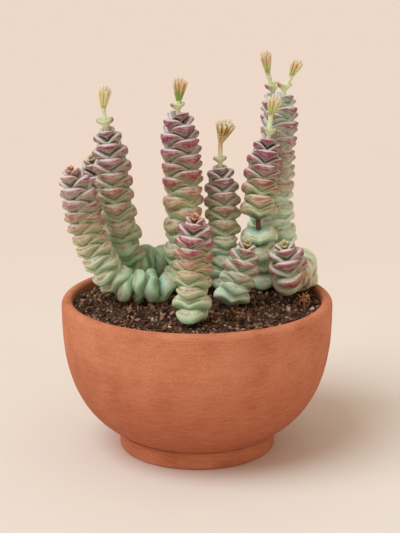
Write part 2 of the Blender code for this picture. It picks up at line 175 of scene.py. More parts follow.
def repeat_faces(faces, count, stride):
    """The same faces for each of many shapes of stride points."""
    steps = stride * np.arange(count)[:, None, None]
    return (faces[None] + steps).reshape(-1, faces.shape[1])


def build_mesh(name, points, quads, triangles=None, values=None):
    """A mesh from arrays, with its named values stored on its points."""
    triangles = np.zeros((0, 3), int) if triangles is None else triangles
    mesh = bpy.data.meshes.new(name)
    corners = np.concatenate([quads.ravel(), triangles.ravel()]).astype(np.int32)
    sizes = np.concatenate([np.full(len(quads), 4), np.full(len(triangles), 3)])
    starts = np.concatenate([[0], np.cumsum(sizes)[:-1]]).astype(np.int32)
    mesh.vertices.add(len(points))
    mesh.vertices.foreach_set("co", np.ascontiguousarray(points, np.float32).ravel())
    mesh.loops.add(len(corners))
    mesh.loops.foreach_set("vertex_index", corners)
    mesh.polygons.add(len(sizes))
    mesh.polygons.foreach_set("loop_start", starts)
    mesh.update(calc_edges=True)
    mesh.validate()
    mesh.shade_smooth()
    for label, numbers in (values or {}).items():
        layer = mesh.attributes.new(label, "FLOAT", "POINT")
        layer.data.foreach_set("value", np.ascontiguousarray(numbers, np.float32).ravel())
    return mesh


def between_poles(first, grid, last):
    """Points or values of balls in one row each: a pole, then the rings, then a pole."""
    count, tail = len(grid), grid.shape[3:]
    first, last = (np.broadcast_to(pole, (count, 1, *tail)) for pole in (first, last))
    return np.concatenate([first, grid.reshape(count, -1, *tail), last], axis=1)


def balls_mesh(name, points, rows, columns, values=None, turned=False):
    """One mesh of many balls. Points is (count, rows * columns + 2, 3).

    A grid that runs the other way round its ball is turned, so that its faces look out.
    """
    count, stride = points.shape[:2]
    faces = [kind[:, ::-1] if turned else kind for kind in ball_faces(rows, columns)]
    quads, triangles = (repeat_faces(kind, count, stride) for kind in faces)
    return build_mesh(name, points.reshape(-1, 3), quads, triangles, values)


def place_piece(name, mesh, material, nodes=()):
    """Put a finished mesh in the scene, on the one body that this object has."""
    piece = bpy.data.objects.new(name, mesh)
    mesh.materials.append(material)
    bpy.context.scene.collection.objects.link(piece)
    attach(piece, "root")
    if nodes:
        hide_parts(*nodes)
    print(f"{name}: {len(mesh.vertices)} points, {len(mesh.polygons)} faces")


# %% [markdown]
# ## Smooth random relief
#
# Soil, clay and leaves are never quite even. A lattice of random numbers, blended
# smoothly between its corners, gives a value that varies gently in space and is the
# same on every run.

# %% Smooth random relief
LATTICE = 4096
LATTICE_STEPS = np.array([73, 179, 283])


def smooth_step(value):
    """0 below 0, 1 above 1, and an S curve of 3v squared minus 2v cubed between."""
    value = np.clip(value, 0, 1)
    return value * value * (3 - 2 * value)


def relief(points, size, seed):
    """Smooth noise between -1 and 1 at points, with bumps about as wide as size."""
    table = np.random.default_rng(seed).random(LATTICE) * 2 - 1
    spots = np.asarray(points) / size
    base = np.floor(spots).astype(int)
    share = smooth_step(spots - base)
    total = 0
    for corner in np.ndindex(2, 2, 2):
        index = (base + corner) @ LATTICE_STEPS % LATTICE
        weight = np.prod(np.where(corner, share, 1 - share), axis=-1)
        total = total + table[index] * weight
    return total


print("relief at three spots:", np.round(relief(np.eye(3) * 5 * MM, 2 * MM, 1), 3))

# %% [markdown]
# ## Tools for finishes
#
# A finish is a small graph of nodes that ends in one Principled shader. These helpers
# keep each finish short: a graph holds the shader and the point's place, and offers
# noise, colour ramps, sums and bumps by name.

# %% Finish tools
class Finish:
    """A material's node graph, built by plain calls."""

    def __init__(self, name, roughness, **sockets):
        self.material = bpy.data.materials.new(name)
        self.material.use_nodes = True
        self.tree = self.material.node_tree
        self.shader = self.tree.nodes["Principled BSDF"]
        self.surface(Roughness=roughness, **sockets)
        self.place = self.new("TexCoord").outputs["Object"]

    def fill(self, node, sockets):
        """Link each socket to an output, or set it to a number, a vector or a colour."""
        for label, value in sockets.items():
            socket = node.inputs[label]
            if isinstance(value, bpy.types.NodeSocket):
                self.tree.links.new(value, socket)
            elif isinstance(value, tuple):
                socket.default_value = (*value, 1)[:len(socket.default_value)]
            else:
                socket.default_value = value
        return node

    def new(self, kind, sockets=None, **settings):
        """A node of a kind, with its settings and its sockets."""
        node = self.tree.nodes.new("ShaderNode" + kind)
        for label, setting in settings.items():
            setattr(node, label, setting)
        return self.fill(node, sockets or {})

    def noise(self, size, detail=3, stretch=(1, 1, 1), rough=0.5):
        """Noise with features about as large as size, squeezed by stretch."""
        scaled = self.new("Mapping", {"Scale": stretch, "Vector": self.place})
        return self.new("TexNoise", {"Scale": 1 / size, "Detail": detail, "Roughness": rough,
                                     "Vector": scaled.outputs["Vector"]}).outputs["Fac"]

    def lines(self, value, per_unit, size):
        """Noise that changes fast with a value and slowly in space, as growth lines do."""
        return self.new("TexNoise", {"Scale": 1 / size, "Detail": 2, "Vector": self.place,
                                     "W": self.times(value, per_unit * size)},
                        noise_dimensions="4D").outputs["Fac"]

    def axis(self, letter):
        """A point's place along X, Y or Z, in metres."""
        return self.new("SeparateXYZ", {"Vector": self.place}).outputs[letter]

    def value(self, name):
        """A number that the mesh stores on its points."""
        return self.new("Attribute", attribute_name=name).outputs["Fac"]

    def ramp(self, factor, marks):
        """A colour ramp through (position, colour or number) marks."""
        node = self.new("ValToRGB", {"Fac": factor})
        line = node.color_ramp.elements
        while len(line) < len(marks):
            line.new(1.0)
        for element, (position, colour) in zip(line, marks):
            element.position = position
            element.color = (*colour, 1) if isinstance(colour, tuple) else (colour,) * 3 + (1,)
        return node.outputs["Color"]

    def sum(self, operation, first, second, clamp=False):
        """One step of arithmetic on two numbers."""
        return self.new("Math", {0: first, 1: second}, operation=operation,
                        use_clamp=clamp).outputs["Value"]

    def times(self, *numbers, clamp=False):
        """The product of numbers, with the last step held between 0 and 1 if clamp is set."""
        product = numbers[0]
        for step, number in enumerate(numbers[1:], 2):
            product = self.sum("MULTIPLY", product, number, clamp and step == len(numbers))
        return product

    def stretch(self, factor, low, high, to_low=0.0, to_high=1.0):
        """Move a number from one range to another, held within it."""
        return self.new("MapRange", {"Value": factor, "From Min": low, "From Max": high,
                                     "To Min": to_low, "To Max": to_high}).outputs["Result"]

    def blend(self, factor, first, second, how="MIX"):
        """Mix two colours by a factor."""
        return self.new("Mix", {"Factor": factor, "A": first, "B": second}, data_type="RGBA",
                        blend_type=how).outputs["Result"]

    def surface(self, **sockets):
        """Link or set the shader's own sockets, with _ for each space in their names."""
        self.fill(self.shader, {label.replace("_", " "): value for label, value in sockets.items()})

    def colour(self, value):
        self.surface(Base_Color=value)

    def bump(self, height, depth, strength=1.0):
        """Raise the surface by a height of 0 to 1, depth metres deep."""
        raised = self.new("Bump", {"Strength": strength, "Distance": depth, "Height": height})
        self.surface(Normal=raised.outputs["Normal"])


def tone(red, green, blue):
    """A colour as seen on screen, 0 to 255, as the linear light that Blender mixes."""
    shares = np.array([red, green, blue]) / 255
    curved = ((shares + 0.055) / 1.055) ** 2.4
    return tuple(float(value) for value in np.where(shares < 0.04045, shares / 12.92, curved))


def marks(*stops, along=float):
    """Marks of a ramp: a position, then a number or a red, green and blue of 0 to 255."""
    return [(along(position), tone(*rest) if len(rest) == 3 else rest[0])
            for position, *rest in stops]


# %% [markdown]
# ## The floor
#
# The floor is one large sheet of pale paper. It is cream near the bowl and a little
# pinker far behind it, as in the photograph. Its only other detail is a very faint
# mottle, so that the light on it isn't perfectly flat.

# %% The floor
def floor_finish():
    """Matte pale paper with a mottle of one or two parts in a hundred."""
    paper = Finish("pale paper", 0.95)
    mottle = paper.stretch(paper.noise(0.05, detail=2), 0.3, 0.7, 0.985, 1.0)
    behind = paper.stretch(paper.axis("Y"), -0.05, 0.4)
    sheet = paper.blend(behind, FLOOR_NEAR, FLOOR_FAR)
    paper.colour(paper.blend(mottle, (0, 0, 0), sheet))
    return paper.material


def add_floor():
    """A flat sheet under everything, at height 0."""
    side = FLOOR_REACH * np.array([[-1, -1, 0], [1, -1, 0], [1, 1, 0], [-1, 1, 0]])
    floor = bpy.data.objects.new("floor", build_mesh("floor", side, np.array([[0, 1, 2, 3]])))
    floor.data.materials.append(floor_finish())
    bpy.context.scene.collection.objects.link(floor)


add_floor()

# %% [markdown]
# ## The terracotta bowl
#
# The bowl was turned on a wheel, so it is one profile swept round Z. Its outside is a
# superellipse, fuller than a circle, and the wall has the same thickness all the way.
# The lip is rounded, more on the outside than on the inside, and the foot is a short
# ring with a hollow underneath and a drain hole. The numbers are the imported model's
# own, with many more points along each curve.

# %% The bowl's shape
BOWL_RADIUS = 60 * MM
BOWL_HEIGHT = 69 * MM
BOWL_WIDEST = 65.8 * MM
BOWL_DEPTH = 63.5 * MM
BOWL_POWER = 2.7
WALL = 4.9 * MM
FLOOR_TOP = 8 * MM
LIP_OUTER_ROUND = 2.9 * MM
LIP_INNER_ROUND = 2.0 * MM
FOOT_RADIUS = 35 * MM
FOOT_HEIGHT = 7 * MM
FOOT_EDGE = 1.2 * MM
FOOT_RING_INNER = 27 * MM
FOOT_RECESS = 2.5 * MM
DRAIN_RADIUS = 5 * MM
INSIDE_FLOOR = 9.5 * MM
BOWL_SIDES = 288
OUTER_STEPS = 44
INNER_STEPS = 30
TURNING_MARK = 0.06 * MM
TURNING_LINE = 2.2 * MM
TURNING_SQUEEZE = (0.15, 0.15, 1)
TURNING_FADES = (4 * MM, 3 * MM)


def bowl_curve(radius, depth, height):
    """Radius at a height: a superellipse, r (1 - drop^p)^(1/p), below the widest level."""
    drop = np.clip((BOWL_WIDEST - height) / depth, 0, 1)
    return radius * (1 - drop ** BOWL_POWER) ** (1 / BOWL_POWER)


def wall_line(radius, depth, start, end, steps):
    """Points of one side of the wall in a profile, between two heights."""
    levels = np.linspace(start, end, steps)
    return np.stack([bowl_curve(radius, depth, levels), levels], axis=-1)


def arc(centre, radius, start, end, steps):
    """Points of a circular arc in a profile, between two angles in degrees."""
    angles = np.radians(np.linspace(start, end, steps))
    return np.stack([centre[0] + radius * np.cos(angles),
                     centre[1] + radius * np.sin(angles)], axis=-1)


def bowl_profile():
    """The closed outline of the wall, from the top of the lip down and round."""
    lip_outer = arc((BOWL_RADIUS - LIP_OUTER_ROUND, BOWL_HEIGHT - LIP_OUTER_ROUND),
                    LIP_OUTER_ROUND, 90, 0, 9)
    lip_inner = arc((BOWL_RADIUS - WALL + LIP_INNER_ROUND, BOWL_HEIGHT - LIP_INNER_ROUND),
                    LIP_INNER_ROUND, 180, 95, 7)
    outer = wall_line(BOWL_RADIUS, BOWL_DEPTH, BOWL_WIDEST - 1 * MM, FOOT_HEIGHT + 1.2 * MM,
                      OUTER_STEPS)
    foot_top = arc((FOOT_RADIUS + 1.0 * MM, FOOT_HEIGHT - 0.2 * MM), 1.0 * MM, 100, 180, 5)
    foot_side = np.stack([np.full(4, FOOT_RADIUS),
                          np.linspace(FOOT_HEIGHT - 1.5 * MM, FOOT_EDGE, 4)], axis=-1)
    foot_round = arc((FOOT_RADIUS - FOOT_EDGE, FOOT_EDGE), FOOT_EDGE, -15, -90, 5)
    under = np.array([(FOOT_RING_INNER, 0), (FOOT_RING_INNER - 0.5 * MM, 0.4 * MM),
                      (FOOT_RING_INNER - FOOT_EDGE, FOOT_RECESS),
                      (DRAIN_RADIUS + 1 * MM, FOOT_RECESS), (DRAIN_RADIUS, FOOT_RECESS + 0.8 * MM),
                      (DRAIN_RADIUS, FLOOR_TOP)])
    inner = wall_line(BOWL_RADIUS - WALL, BOWL_DEPTH - WALL, INSIDE_FLOOR, BOWL_HEIGHT - 4 * MM,
                      INNER_STEPS)
    return np.vstack([lip_outer, outer, foot_top, foot_side, foot_round, under, inner, lip_inner])


def turned_mesh(name, profile, sides):
    """A closed profile swept round Z, with faint level lines between its foot and its lip."""
    radius, height = profile[:, :1], profile[:, 1:]
    points = swept(radius, height, sides)
    lines = relief(points * TURNING_SQUEEZE, TURNING_LINE, 5) * TURNING_MARK
    above_foot, below_lip = TURNING_FADES
    free = smooth_step((height - FOOT_EDGE * 2) / above_foot)
    free = free * smooth_step((BOWL_HEIGHT - below_lip - height) / below_lip)
    points = points + swept(1, 0, sides) * (lines * free - TURNING_MARK * free)[..., None]
    return build_mesh(name, points.reshape(-1, 3), wrap_faces(len(profile), sides, closed=True))


# %% [markdown]
# The clay is matte and open. It was wiped with a wet brush as it turned, which leaves
# fine lines that run level all the way round: noise that is squeezed hard along Z has
# just that look, with pale strokes where it is high and deep ones where it is low.
# Larger clouds and small dark specks break up the tone, and painted shade darkens the
# lower half, less at the foot. The same lines are pressed into the surface as a shallow bump.

# %% The bowl's finish
CLAY_MID = tone(206, 126, 90)
CLAY_PALE = tone(226, 152, 116)
CLAY_DEEP = tone(176, 96, 64)
CLAY_SPECK = tone(132, 68, 44)
# Painted shade: the lower half of the bowl darkens from 52 mm down to 16 mm, and only a little below
# 12 mm near the foot, where the light already leaves it dark.
CLAY_LOW_SHADE = tone(170, 90, 58)
LOW_SHADE_FROM = 52 * MM
LOW_SHADE_FULL = 16 * MM
LESS_SHADE_AT_FOOT = (5 * MM, 12 * MM)


def clay_finish():
    clay = Finish("fired clay", 0.82, Specular_IOR_Level=0.25)
    clouds = clay.noise(18 * MM, detail=4, rough=0.6)
    lines = clay.noise(3.6 * MM, detail=4, stretch=(0.45, 0.45, 7), rough=0.75)
    fine = clay.noise(0.7 * MM, detail=3, rough=0.7)
    base = clay.ramp(clouds, [(0.25, CLAY_DEEP), (0.5, CLAY_MID), (0.95, CLAY_PALE)])
    height = clay.axis("Z")
    # Painted shade over the lower half, lighter near the foot.
    below = clay.stretch(height, LOW_SHADE_FROM, LOW_SHADE_FULL)
    low = clay.times(below, clay.stretch(height, *LESS_SHADE_AT_FOOT, 0.1, 1.0))
    low_shaded = clay.blend(low, base, CLAY_LOW_SHADE)
    streaked = clay.blend(clay.stretch(lines, 0.42, 0.66, 0.0, 0.38), low_shaded, CLAY_PALE)
    dented = clay.blend(clay.stretch(lines, 0.46, 0.34, 0.0, 0.3), streaked, CLAY_DEEP)
    grainy = clay.blend(clay.stretch(fine, 0.42, 0.66, 0.0, 0.45), dented, CLAY_DEEP)
    specks = clay.stretch(clay.noise(1.1 * MM, detail=1), 0.72, 0.80, 0.0, 0.6)
    clay.colour(clay.blend(specks, grainy, CLAY_SPECK))
    rough = clay.sum("ADD", clay.times(lines, 0.7), clay.times(fine, 0.5))
    clay.bump(rough, 0.12 * MM, 0.8)
    return clay.material


place_piece("bowl", turned_mesh("bowl", bowl_profile(), BOWL_SIDES),
            clay_finish(), ["terracotta_bowl"])

# %% [markdown]
# ## The bed of soil
#
# The mix is dark, open and crumbly. Its bed is a round sheet of rings that rolls
# gently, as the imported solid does, with finer bumps in three sizes on top, and a wall
# and floor that follow the inside of the bowl. The loose crumbs come after it.

# %% The soil's bed
GAP = 0.3 * MM
SOIL_TOP = 65 * MM
SOIL_RELIEF = 0.6 * MM
SOIL_MOUND = 0.8 * MM
SOIL_REACH = BOWL_RADIUS - WALL - GAP
BED_RINGS = 120
BED_WALL_RINGS = 12
BED_SIDES = 300
ROLLS = (7 * MM, 6 * MM, 4 * MM)
BUMPS = ((0.60, 3.2, 21), (0.50, 1.5, 22), (0.30, 0.7, 23))


def soil_height(x, y):
    """The packed soil's surface: a low mound with gentle rolls, level at the wall."""
    edge = 1 - np.minimum(np.hypot(x, y) / (BOWL_RADIUS - WALL), 1) ** 4
    wide, deep, slanting = ROLLS
    rolls = np.sin(x / wide + 1.1) * np.cos(y / deep - 0.4)
    rolls = rolls + 0.6 * np.sin((x + y) / slanting + 2.0)
    return SOIL_TOP + edge * (SOIL_MOUND + SOIL_RELIEF * rolls / 1.6)


def crumbly_height(x, y):
    """The surface with bumps of three sizes: each has a height, a width and a seed."""
    spots = np.stack([x, y, np.zeros_like(x)], axis=-1)
    bumps = sum(height * relief(spots, width * MM, seed) for height, width, seed in BUMPS)
    return soil_height(x, y) + bumps * MM


def soil_bed():
    """Rings from the middle out, then down the wall to the middle of the floor."""
    radius = SOIL_REACH * np.linspace(0, 1, BED_RINGS + 1)[1:, None]
    top = swept(radius, 0, BED_SIDES)
    top[..., 2] = crumbly_height(top[..., 0], top[..., 1])
    levels = np.linspace(SOIL_TOP - 2 * MM, INSIDE_FLOOR, BED_WALL_RINGS)[:, None]
    wall = swept(bowl_curve(BOWL_RADIUS - WALL, BOWL_DEPTH - WALL, levels) - GAP, levels, BED_SIDES)
    rings = np.concatenate([top, wall])
    middle = np.array([0, 0, float(crumbly_height(np.array(0.0), np.array(0.0)))])
    points = between_poles(middle, rings[None], np.array([0, 0, FLOOR_TOP + GAP]))
    return balls_mesh("soil bed", points, len(rings), BED_SIDES)


SOIL_DARK = tone(52, 35, 26)
SOIL_MID = tone(84, 60, 46)
SOIL_LIGHT = tone(118, 90, 70)


def soil_finish():
    soil = Finish("dark potting mix", 0.95, Specular_IOR_Level=0.2)
    coarse = soil.noise(2.6 * MM, detail=5, rough=0.65)
    fine = soil.noise(0.8 * MM, detail=3, rough=0.7)
    base = soil.ramp(coarse, [(0.32, SOIL_DARK), (0.52, SOIL_MID), (0.72, SOIL_LIGHT)])
    soil.colour(soil.blend(soil.stretch(fine, 0.4, 0.65, 0.0, 0.7), base, SOIL_DARK))
    soil.bump(fine, 0.4 * MM)
    return soil.material


place_piece("soil_bed", soil_bed(), soil_finish(), ["potting_soil"])

# %% [markdown]
# ## Crumbs, grit, bark and fibres
#
# Loose pieces lie on the bed: flaky crumbs of compost, rounder and paler grit, thin
# chips of bark and a few fibres. Each kind of grain is one small ball of 24 faces,
# squashed, made uneven, and repeated at random places with random sizes and turns. All
# copies of a kind are worked out in one array, with no loop over the grains. The number
# that picks a copy's tone is stored on its points for the finish to read.

# %% Scattered soil
GRAIN_RINGS = 3
GRAIN_SIDES = 6
GRAINS_WITHIN = 0.985 * SOIL_REACH
FEW_LARGE = 2.2


def random_turns(count, draw):
    """Random rotation matrices, from four normal numbers each made a unit quaternion."""
    w, x, y, z = unit(draw.normal(size=(count, 4))).T
    return np.stack([
        np.stack([1 - 2 * (y * y + z * z), 2 * (x * y - z * w), 2 * (x * z + y * w)], axis=-1),
        np.stack([2 * (x * y + z * w), 1 - 2 * (x * x + z * z), 2 * (y * z - x * w)], axis=-1),
        np.stack([2 * (x * z - y * w), 2 * (y * z + x * w), 1 - 2 * (x * x + y * y)], axis=-1),
    ], axis=1)


def small_ball(rings, sides):
    """The points of a unit ball: a pole, the rings and the other pole."""
    down = math.pi * np.arange(1, rings + 1)[:, None] / (rings + 1)
    body = swept(np.sin(down), np.cos(down), sides)
    return between_poles(UP, body[None], -UP)[0]


def scattered_grains(name, count, sizes, shape, lumps, sink, seed):
    """Many lumpy grains on the soil.

    sizes are the smallest and largest half length in mm, shape stretches the ball along
    its own axes, lumps is how uneven it is, and sink is the share of it that is buried.
    """
    draw = np.random.default_rng(seed)
    ball = small_ball(GRAIN_RINGS, GRAIN_SIDES)
    angle = draw.uniform(0, math.tau, count)
    radius = GRAINS_WITHIN * np.sqrt(draw.uniform(0, 1, count))
    half = (sizes[0] + (sizes[1] - sizes[0]) * draw.uniform(0, 1, count) ** FEW_LARGE) * MM
    radius = np.minimum(radius, SOIL_REACH - half)
    x, y = radius * np.cos(angle), radius * np.sin(angle)
    uneven = 1 + lumps * draw.uniform(-1, 1, (count, len(ball), 1))
    grains = ball * np.array(shape) * uneven * half[:, None, None]
    grains = np.einsum("nij,nkj->nki", random_turns(count, draw), grains)
    lift = crumbly_height(x, y) + half * min(shape) * (1 - 2 * sink)
    grains = grains + np.stack([x, y, lift], axis=-1)[:, None, :]
    tones = np.repeat(draw.uniform(0, 1, count), len(ball))
    return balls_mesh(name, grains, GRAIN_RINGS, GRAIN_SIDES, {"tone": tones})


def grain_finish(name, roughness, *tones):
    """A finish whose colour goes from grain to grain along a ramp of tones."""
    grain = Finish(name, roughness, Specular_IOR_Level=0.25)
    base = grain.ramp(grain.value("tone"), marks(*tones))
    mottle = grain.noise(0.9 * MM, detail=3, rough=0.7)
    darker = grain.blend(1.0, base, (0.45, 0.42, 0.40), "MULTIPLY")
    grain.colour(grain.blend(grain.stretch(mottle, 0.35, 0.65, 0.0, 0.8), base, darker))
    grain.bump(mottle, 0.3 * MM)
    return grain.material


GRAINS = {
    "soil_crumbs": dict(count=3200, sizes=(0.35, 1.6), shape=(1, 0.7, 0.4), lumps=0.45, sink=0.1,
                        seed=31),
    "soil_grit": dict(count=300, sizes=(0.4, 1.3), shape=(1, 0.75, 0.5), lumps=0.28, sink=0.1,
                      seed=32),
    "bark_chips": dict(count=420, sizes=(0.8, 2.6), shape=(1, 0.5, 0.25), lumps=0.26, sink=0.05,
                       seed=33),
}
GRAIN_SKINS = {
    "soil_crumbs": grain_finish("compost crumbs", 0.9, (0, 42, 27, 20), (0.3, 90, 60, 46),
                                (0.65, 146, 104, 82), (1, 206, 160, 132)),
    "soil_grit": grain_finish("pale grit", 0.8, (0, 156, 116, 90), (0.5, 196, 154, 126),
                              (0.85, 216, 178, 154), (1, 230, 210, 190)),
    "bark_chips": grain_finish("bark", 0.9, (0, 78, 48, 34), (0.5, 128, 86, 62),
                               (1, 184, 138, 104)),
}

for name, scatter in GRAINS.items():
    place_piece(name, scattered_grains(name.replace("_", " "), **scatter), GRAIN_SKINS[name])

# %% [markdown]
# The fibres are threads of peat and coir. Each is a slim tube on a short curved line,
# and all of them are computed together: for every point of every thread, a ring of
# points is set square to the line.

# %% Tubes along paths
STEEP = 0.8
NO_LENGTH = 1e-12


def tube_rings(paths, radii, sides):
    """Rings round many paths of equal length.

    paths is (count, steps, 3) and radii is (count, steps). At each step the ring is
    centre + radius (cos a n + sin a b), with n and b square to the path.
    """
    along = np.gradient(paths, axis=1)
    along = along / np.maximum(np.linalg.norm(along, axis=2, keepdims=True), NO_LENGTH)
    guide = np.where(np.abs(along[..., 2:]) < STEEP, UP, FRONT)
    across = unit(np.cross(guide, along))
    upward = np.cross(along, across)
    angle = round_steps(sides)
    ring = (np.cos(angle)[:, None] * across[:, :, None, :]
            + np.sin(angle)[:, None] * upward[:, :, None, :])
    return paths[:, :, None, :] + ring * radii[:, :, None, None]


def tube_mesh(name, paths, radii, sides, values=None):
    """Closed tubes along many paths, with a pole at either end of each."""
    paths = np.asarray(paths)
    points = between_poles(paths[:, :1], tube_rings(paths, radii, sides), paths[:, -1:])
    stored = {label: between_poles(numbers[:, :1], np.repeat(numbers[..., None], sides, axis=2),
                                   numbers[:, -1:])
              for label, numbers in (values or {}).items()}
    return balls_mesh(name, points, paths.shape[1], sides, stored, turned=True)


FIBRES = 190
FIBRE_STEPS = 9
FIBRE_SIDES = 5
FIBRE_BEND = 1.6
FIBRE_LENGTHS = (2.5, 7.5)
FIBRE_ARCHES = (0.2, 1.6)
FIBRE_RADII = (0.07, 0.16)
FIBRE_LIFT = 0.25


def fibre_mesh():
    """Thin threads that lie on the soil, each bent one way along its length."""
    draw = np.random.default_rng(41)
    share = np.linspace(-0.5, 0.5, FIBRE_STEPS)
    heading = draw.uniform(0, math.tau, FIBRES)
    turn = draw.uniform(-FIBRE_BEND, FIBRE_BEND, FIBRES)
    length = draw.uniform(*FIBRE_LENGTHS, FIBRES) * MM
    angle = draw.uniform(0, math.tau, FIBRES)
    radius = SOIL_REACH * 0.90 * np.sqrt(draw.uniform(0, 1, FIBRES))
    bend = heading[:, None] + turn[:, None] * share
    x = (radius * np.cos(angle))[:, None] + length[:, None] * share * np.cos(bend)
    y = (radius * np.sin(angle))[:, None] + length[:, None] * share * np.sin(bend)
    arch = (0.25 - share ** 2) * 4 * draw.uniform(*FIBRE_ARCHES, FIBRES)[:, None] * MM
    paths = np.stack([x, y, crumbly_height(x, y) + FIBRE_LIFT * MM + arch], axis=-1)
    thick = draw.uniform(*FIBRE_RADII, FIBRES)[:, None] * MM * np.ones(FIBRE_STEPS)
    tones = np.repeat(draw.uniform(0, 1, FIBRES)[:, None], FIBRE_STEPS, axis=1)
    return tube_mesh("soil fibres", paths, thick, FIBRE_SIDES, {"tone": tones})


fibre_skin = grain_finish("peat fibres", 0.9, (0, 74, 46, 31), (0.6, 128, 88, 62),
                          (1, 170, 134, 102))
place_piece("soil_fibres", fibre_mesh(), fibre_skin)

# %% [markdown]
# ## How a stem grows
#
# A stem is a thin core threaded through leaf pairs. Near its tip the pairs are small,
# close and cupped; further down they are full grown, and at last they stand apart.
# The table repeats the imported model's paths and sizes, and adds what is only colour:
# how far the red blush runs down from the tip (in mm), how strong and how purple it is,
# how orange the sprout in the heart is (warm), how much painted light pales the skin of a
# stem that stands in shade (pale), and how much painted shade, partly real dulling, darkens
# it beyond a distance from the tip (dull_and_shade, dull_and_shade_from). "bare" lists the
# pairs, counted from the tip, that are left out, so that the core shows.

# %% The stems' table
ROOT_DEPTH = 8.0
COLLAR = 2.0
PITCH_CROWDED = {"rosette": 2.55, "flowering": 3.25}
PITCH_OPEN = 5.5
PITCH_CHANGE = 6
PITCH_AT_TIP = 0.72
CUP_CROWDED = 0.46
CUP_OPEN = 0.30
ROSETTE_SIZES = (0.22, 0.48, 0.70, 0.85, 0.94, 0.98)
ROSETTE_CUPS = (0.9, 1.0, 0.84, 0.68, 0.58, 0.52)
FLOWERING_SIZES = (0.56, 0.74, 0.86, 0.94, 0.98)
FLOWERING_CUPS = (0.70, 0.62, 0.56, 0.51, 0.48)

STEMS = {
    "outer_left": dict(
        path=[(-12.5, 0, 67), (-14.5, -2, 72), (-19.5, -4.5, 74.5), (-28, -5, 74.5), (-36.5, -6, 78),
              (-43.5, -8, 90), (-48.5, -9.5, 104), (-50.7, -11, 117), (-53.3, -12, 126.5)],
        reach=8.1, turn=-30, crowded=14, lowest=10, tip="rosette",
        blush=0.75, blush_length=34, purple=0.35, warm=0.8, pale=0.15,
        dull_and_shade=0.7, dull_and_shade_from=35),
    "back_left": dict(
        path=[(-37, 27, 67), (-39, 25, 81), (-43, 24, 96), (-46, 22, 110), (-47.3, 20, 125.5)],
        reach=7.4, turn=20, crowded=9, lowest=15, tip="rosette",
        blush=0.8, blush_length=24, purple=0.8),
    "tall_left": dict(
        path=[(-9, 35, 67), (-10, 32, 72), (-14, 26, 77), (-22, 17.5, 79.5), (-30.3, 10, 82.5),
              (-33, 7, 96), (-35.5, 4, 110), (-37, 2, 127), (-38.7, 0, 140.5)],
        reach=8.2, turn=0, crowded=8, lowest=10, tip="flowering",
        blush=0.85, blush_length=38, purple=0.55, pale=0.15,
        dull_and_shade=1.0, dull_and_shade_from=20),
    "tall_middle": dict(
        path=[(-6, 10, 67), (-6, 10, 85), (-6, 9, 105), (-6.5, 9, 125), (-8, 9, 146)],
        reach=9.2, turn=32, crowded=8, lowest=7.5, tip="flowering",
        blush=0.95, blush_length=44, purple=0.6),
    "front": dict(
        path=[(-2, -35, 67), (-2, -34.5, 80), (-1.5, -34, 95), (-0.8, -36, 111)],
        reach=8.2, turn=-14, crowded=9, lowest=6.6, tip="rosette",
        blush=1.0, blush_length=25, purple=0.55, warm=1.0, dull_and_shade=0.35),
    "middle": dict(
        path=[(11.5, 17, 67), (11.5, 17, 85), (11.5, 16, 104), (10.5, 15, 121.5)],
        reach=8.0, turn=10, crowded=7, lowest=6.5, tip="flowering",
        blush=0.85, blush_length=25, purple=0.5, pale=0.25),
    "small_front": dict(
        path=[(15, -9, 67), (15.5, -9, 72), (18, -8.5, 80), (21.5, -9.5, 93.5)],
        reach=7.9, turn=0, crowded=6, lowest=6.2, tip="rosette",
        blush=0.9, blush_length=13, purple=0.4, warm=0.35, pale=0.6),
    "tall_right": dict(
        path=[(30, 22, 67), (30, 19, 77), (28, 14, 91), (27.3, 12, 104), (28.9, 12, 120),
              (31, 12, 134.6)],
        reach=8.4, turn=0, crowded=6, pitch=7.6, bare=(10,), lowest=8.6, tip="flowering",
        blush=1.0, blush_length=27, purple=0.6),
    "back_right": dict(
        path=[(38.5, 33.5, 67), (38.3, 29.8, 85), (36, 27, 105), (36.5, 26, 127),
              (37.4, 25, 143), (38.3, 25, 152.2)],
        reach=8.4, turn=38, crowded=9, lowest=18, tip="flowering",
        blush=0.85, blush_length=40, purple=0.55, pale=0.85),
    "hidden_right": dict(
        path=[(28, 42, 67), (30, 44, 85), (34, 44.5, 110), (36.5, 43, 133), (35, 41, 150)],
        reach=7.6, turn=40, crowded=8, lowest=26, tip="flowering",
        blush=0.8, blush_length=34, purple=0.6, pale=0.3),
    "leaning_right": dict(
        path=[(46, 20, 67), (46.5, 17, 74), (46, 12, 78.7), (44.5, 5, 78.8), (41.9, -0.4, 77.8),
              (40.3, -3, 81.2), (38.5, -4.6, 91.6)],
        reach=8.9, turn=0, crowded=7, lowest=9, tip="rosette",
        blush=0.95, blush_length=18, purple=0.5, pale=0.3),
}


def stem_line(stem, steps=24):
    """The core's line in mm: straight up from the root, then a Catmull-Rom curve."""
    given = np.array(stem["path"], float)
    ends = np.vstack([2 * given[0] - given[1], given, 2 * given[-1] - given[-2]])
    share = np.linspace(0, 1, steps, endpoint=False)[:, None]
    spans = [0.5 * (2 * b + (c - a) * share + (2 * a - 5 * b + 4 * c - d) * share ** 2
                    + (3 * b - a - 3 * c + d) * share ** 3)
             for a, b, c, d in zip(ends, ends[1:], ends[2:], ends[3:])]
    root = given[0] - UP * (ROOT_DEPTH + COLLAR)
    return np.vstack([root, *spans, given[-1]])


def travel(line):
    """Distance from the start at each point of a line."""
    return np.concatenate([[0], np.cumsum(np.linalg.norm(np.diff(line, axis=0), axis=1))])


def spots_along(line, distances):
    """Points and unit directions at distances along a line."""
    run = travel(line)
    spots = np.stack([np.interp(distances, run, line[:, axis]) for axis in range(3)], axis=-1)
    span = np.clip(np.searchsorted(run, distances, side="right"), 1, len(line) - 1)
    return spots, unit(line[span] - line[span - 1])


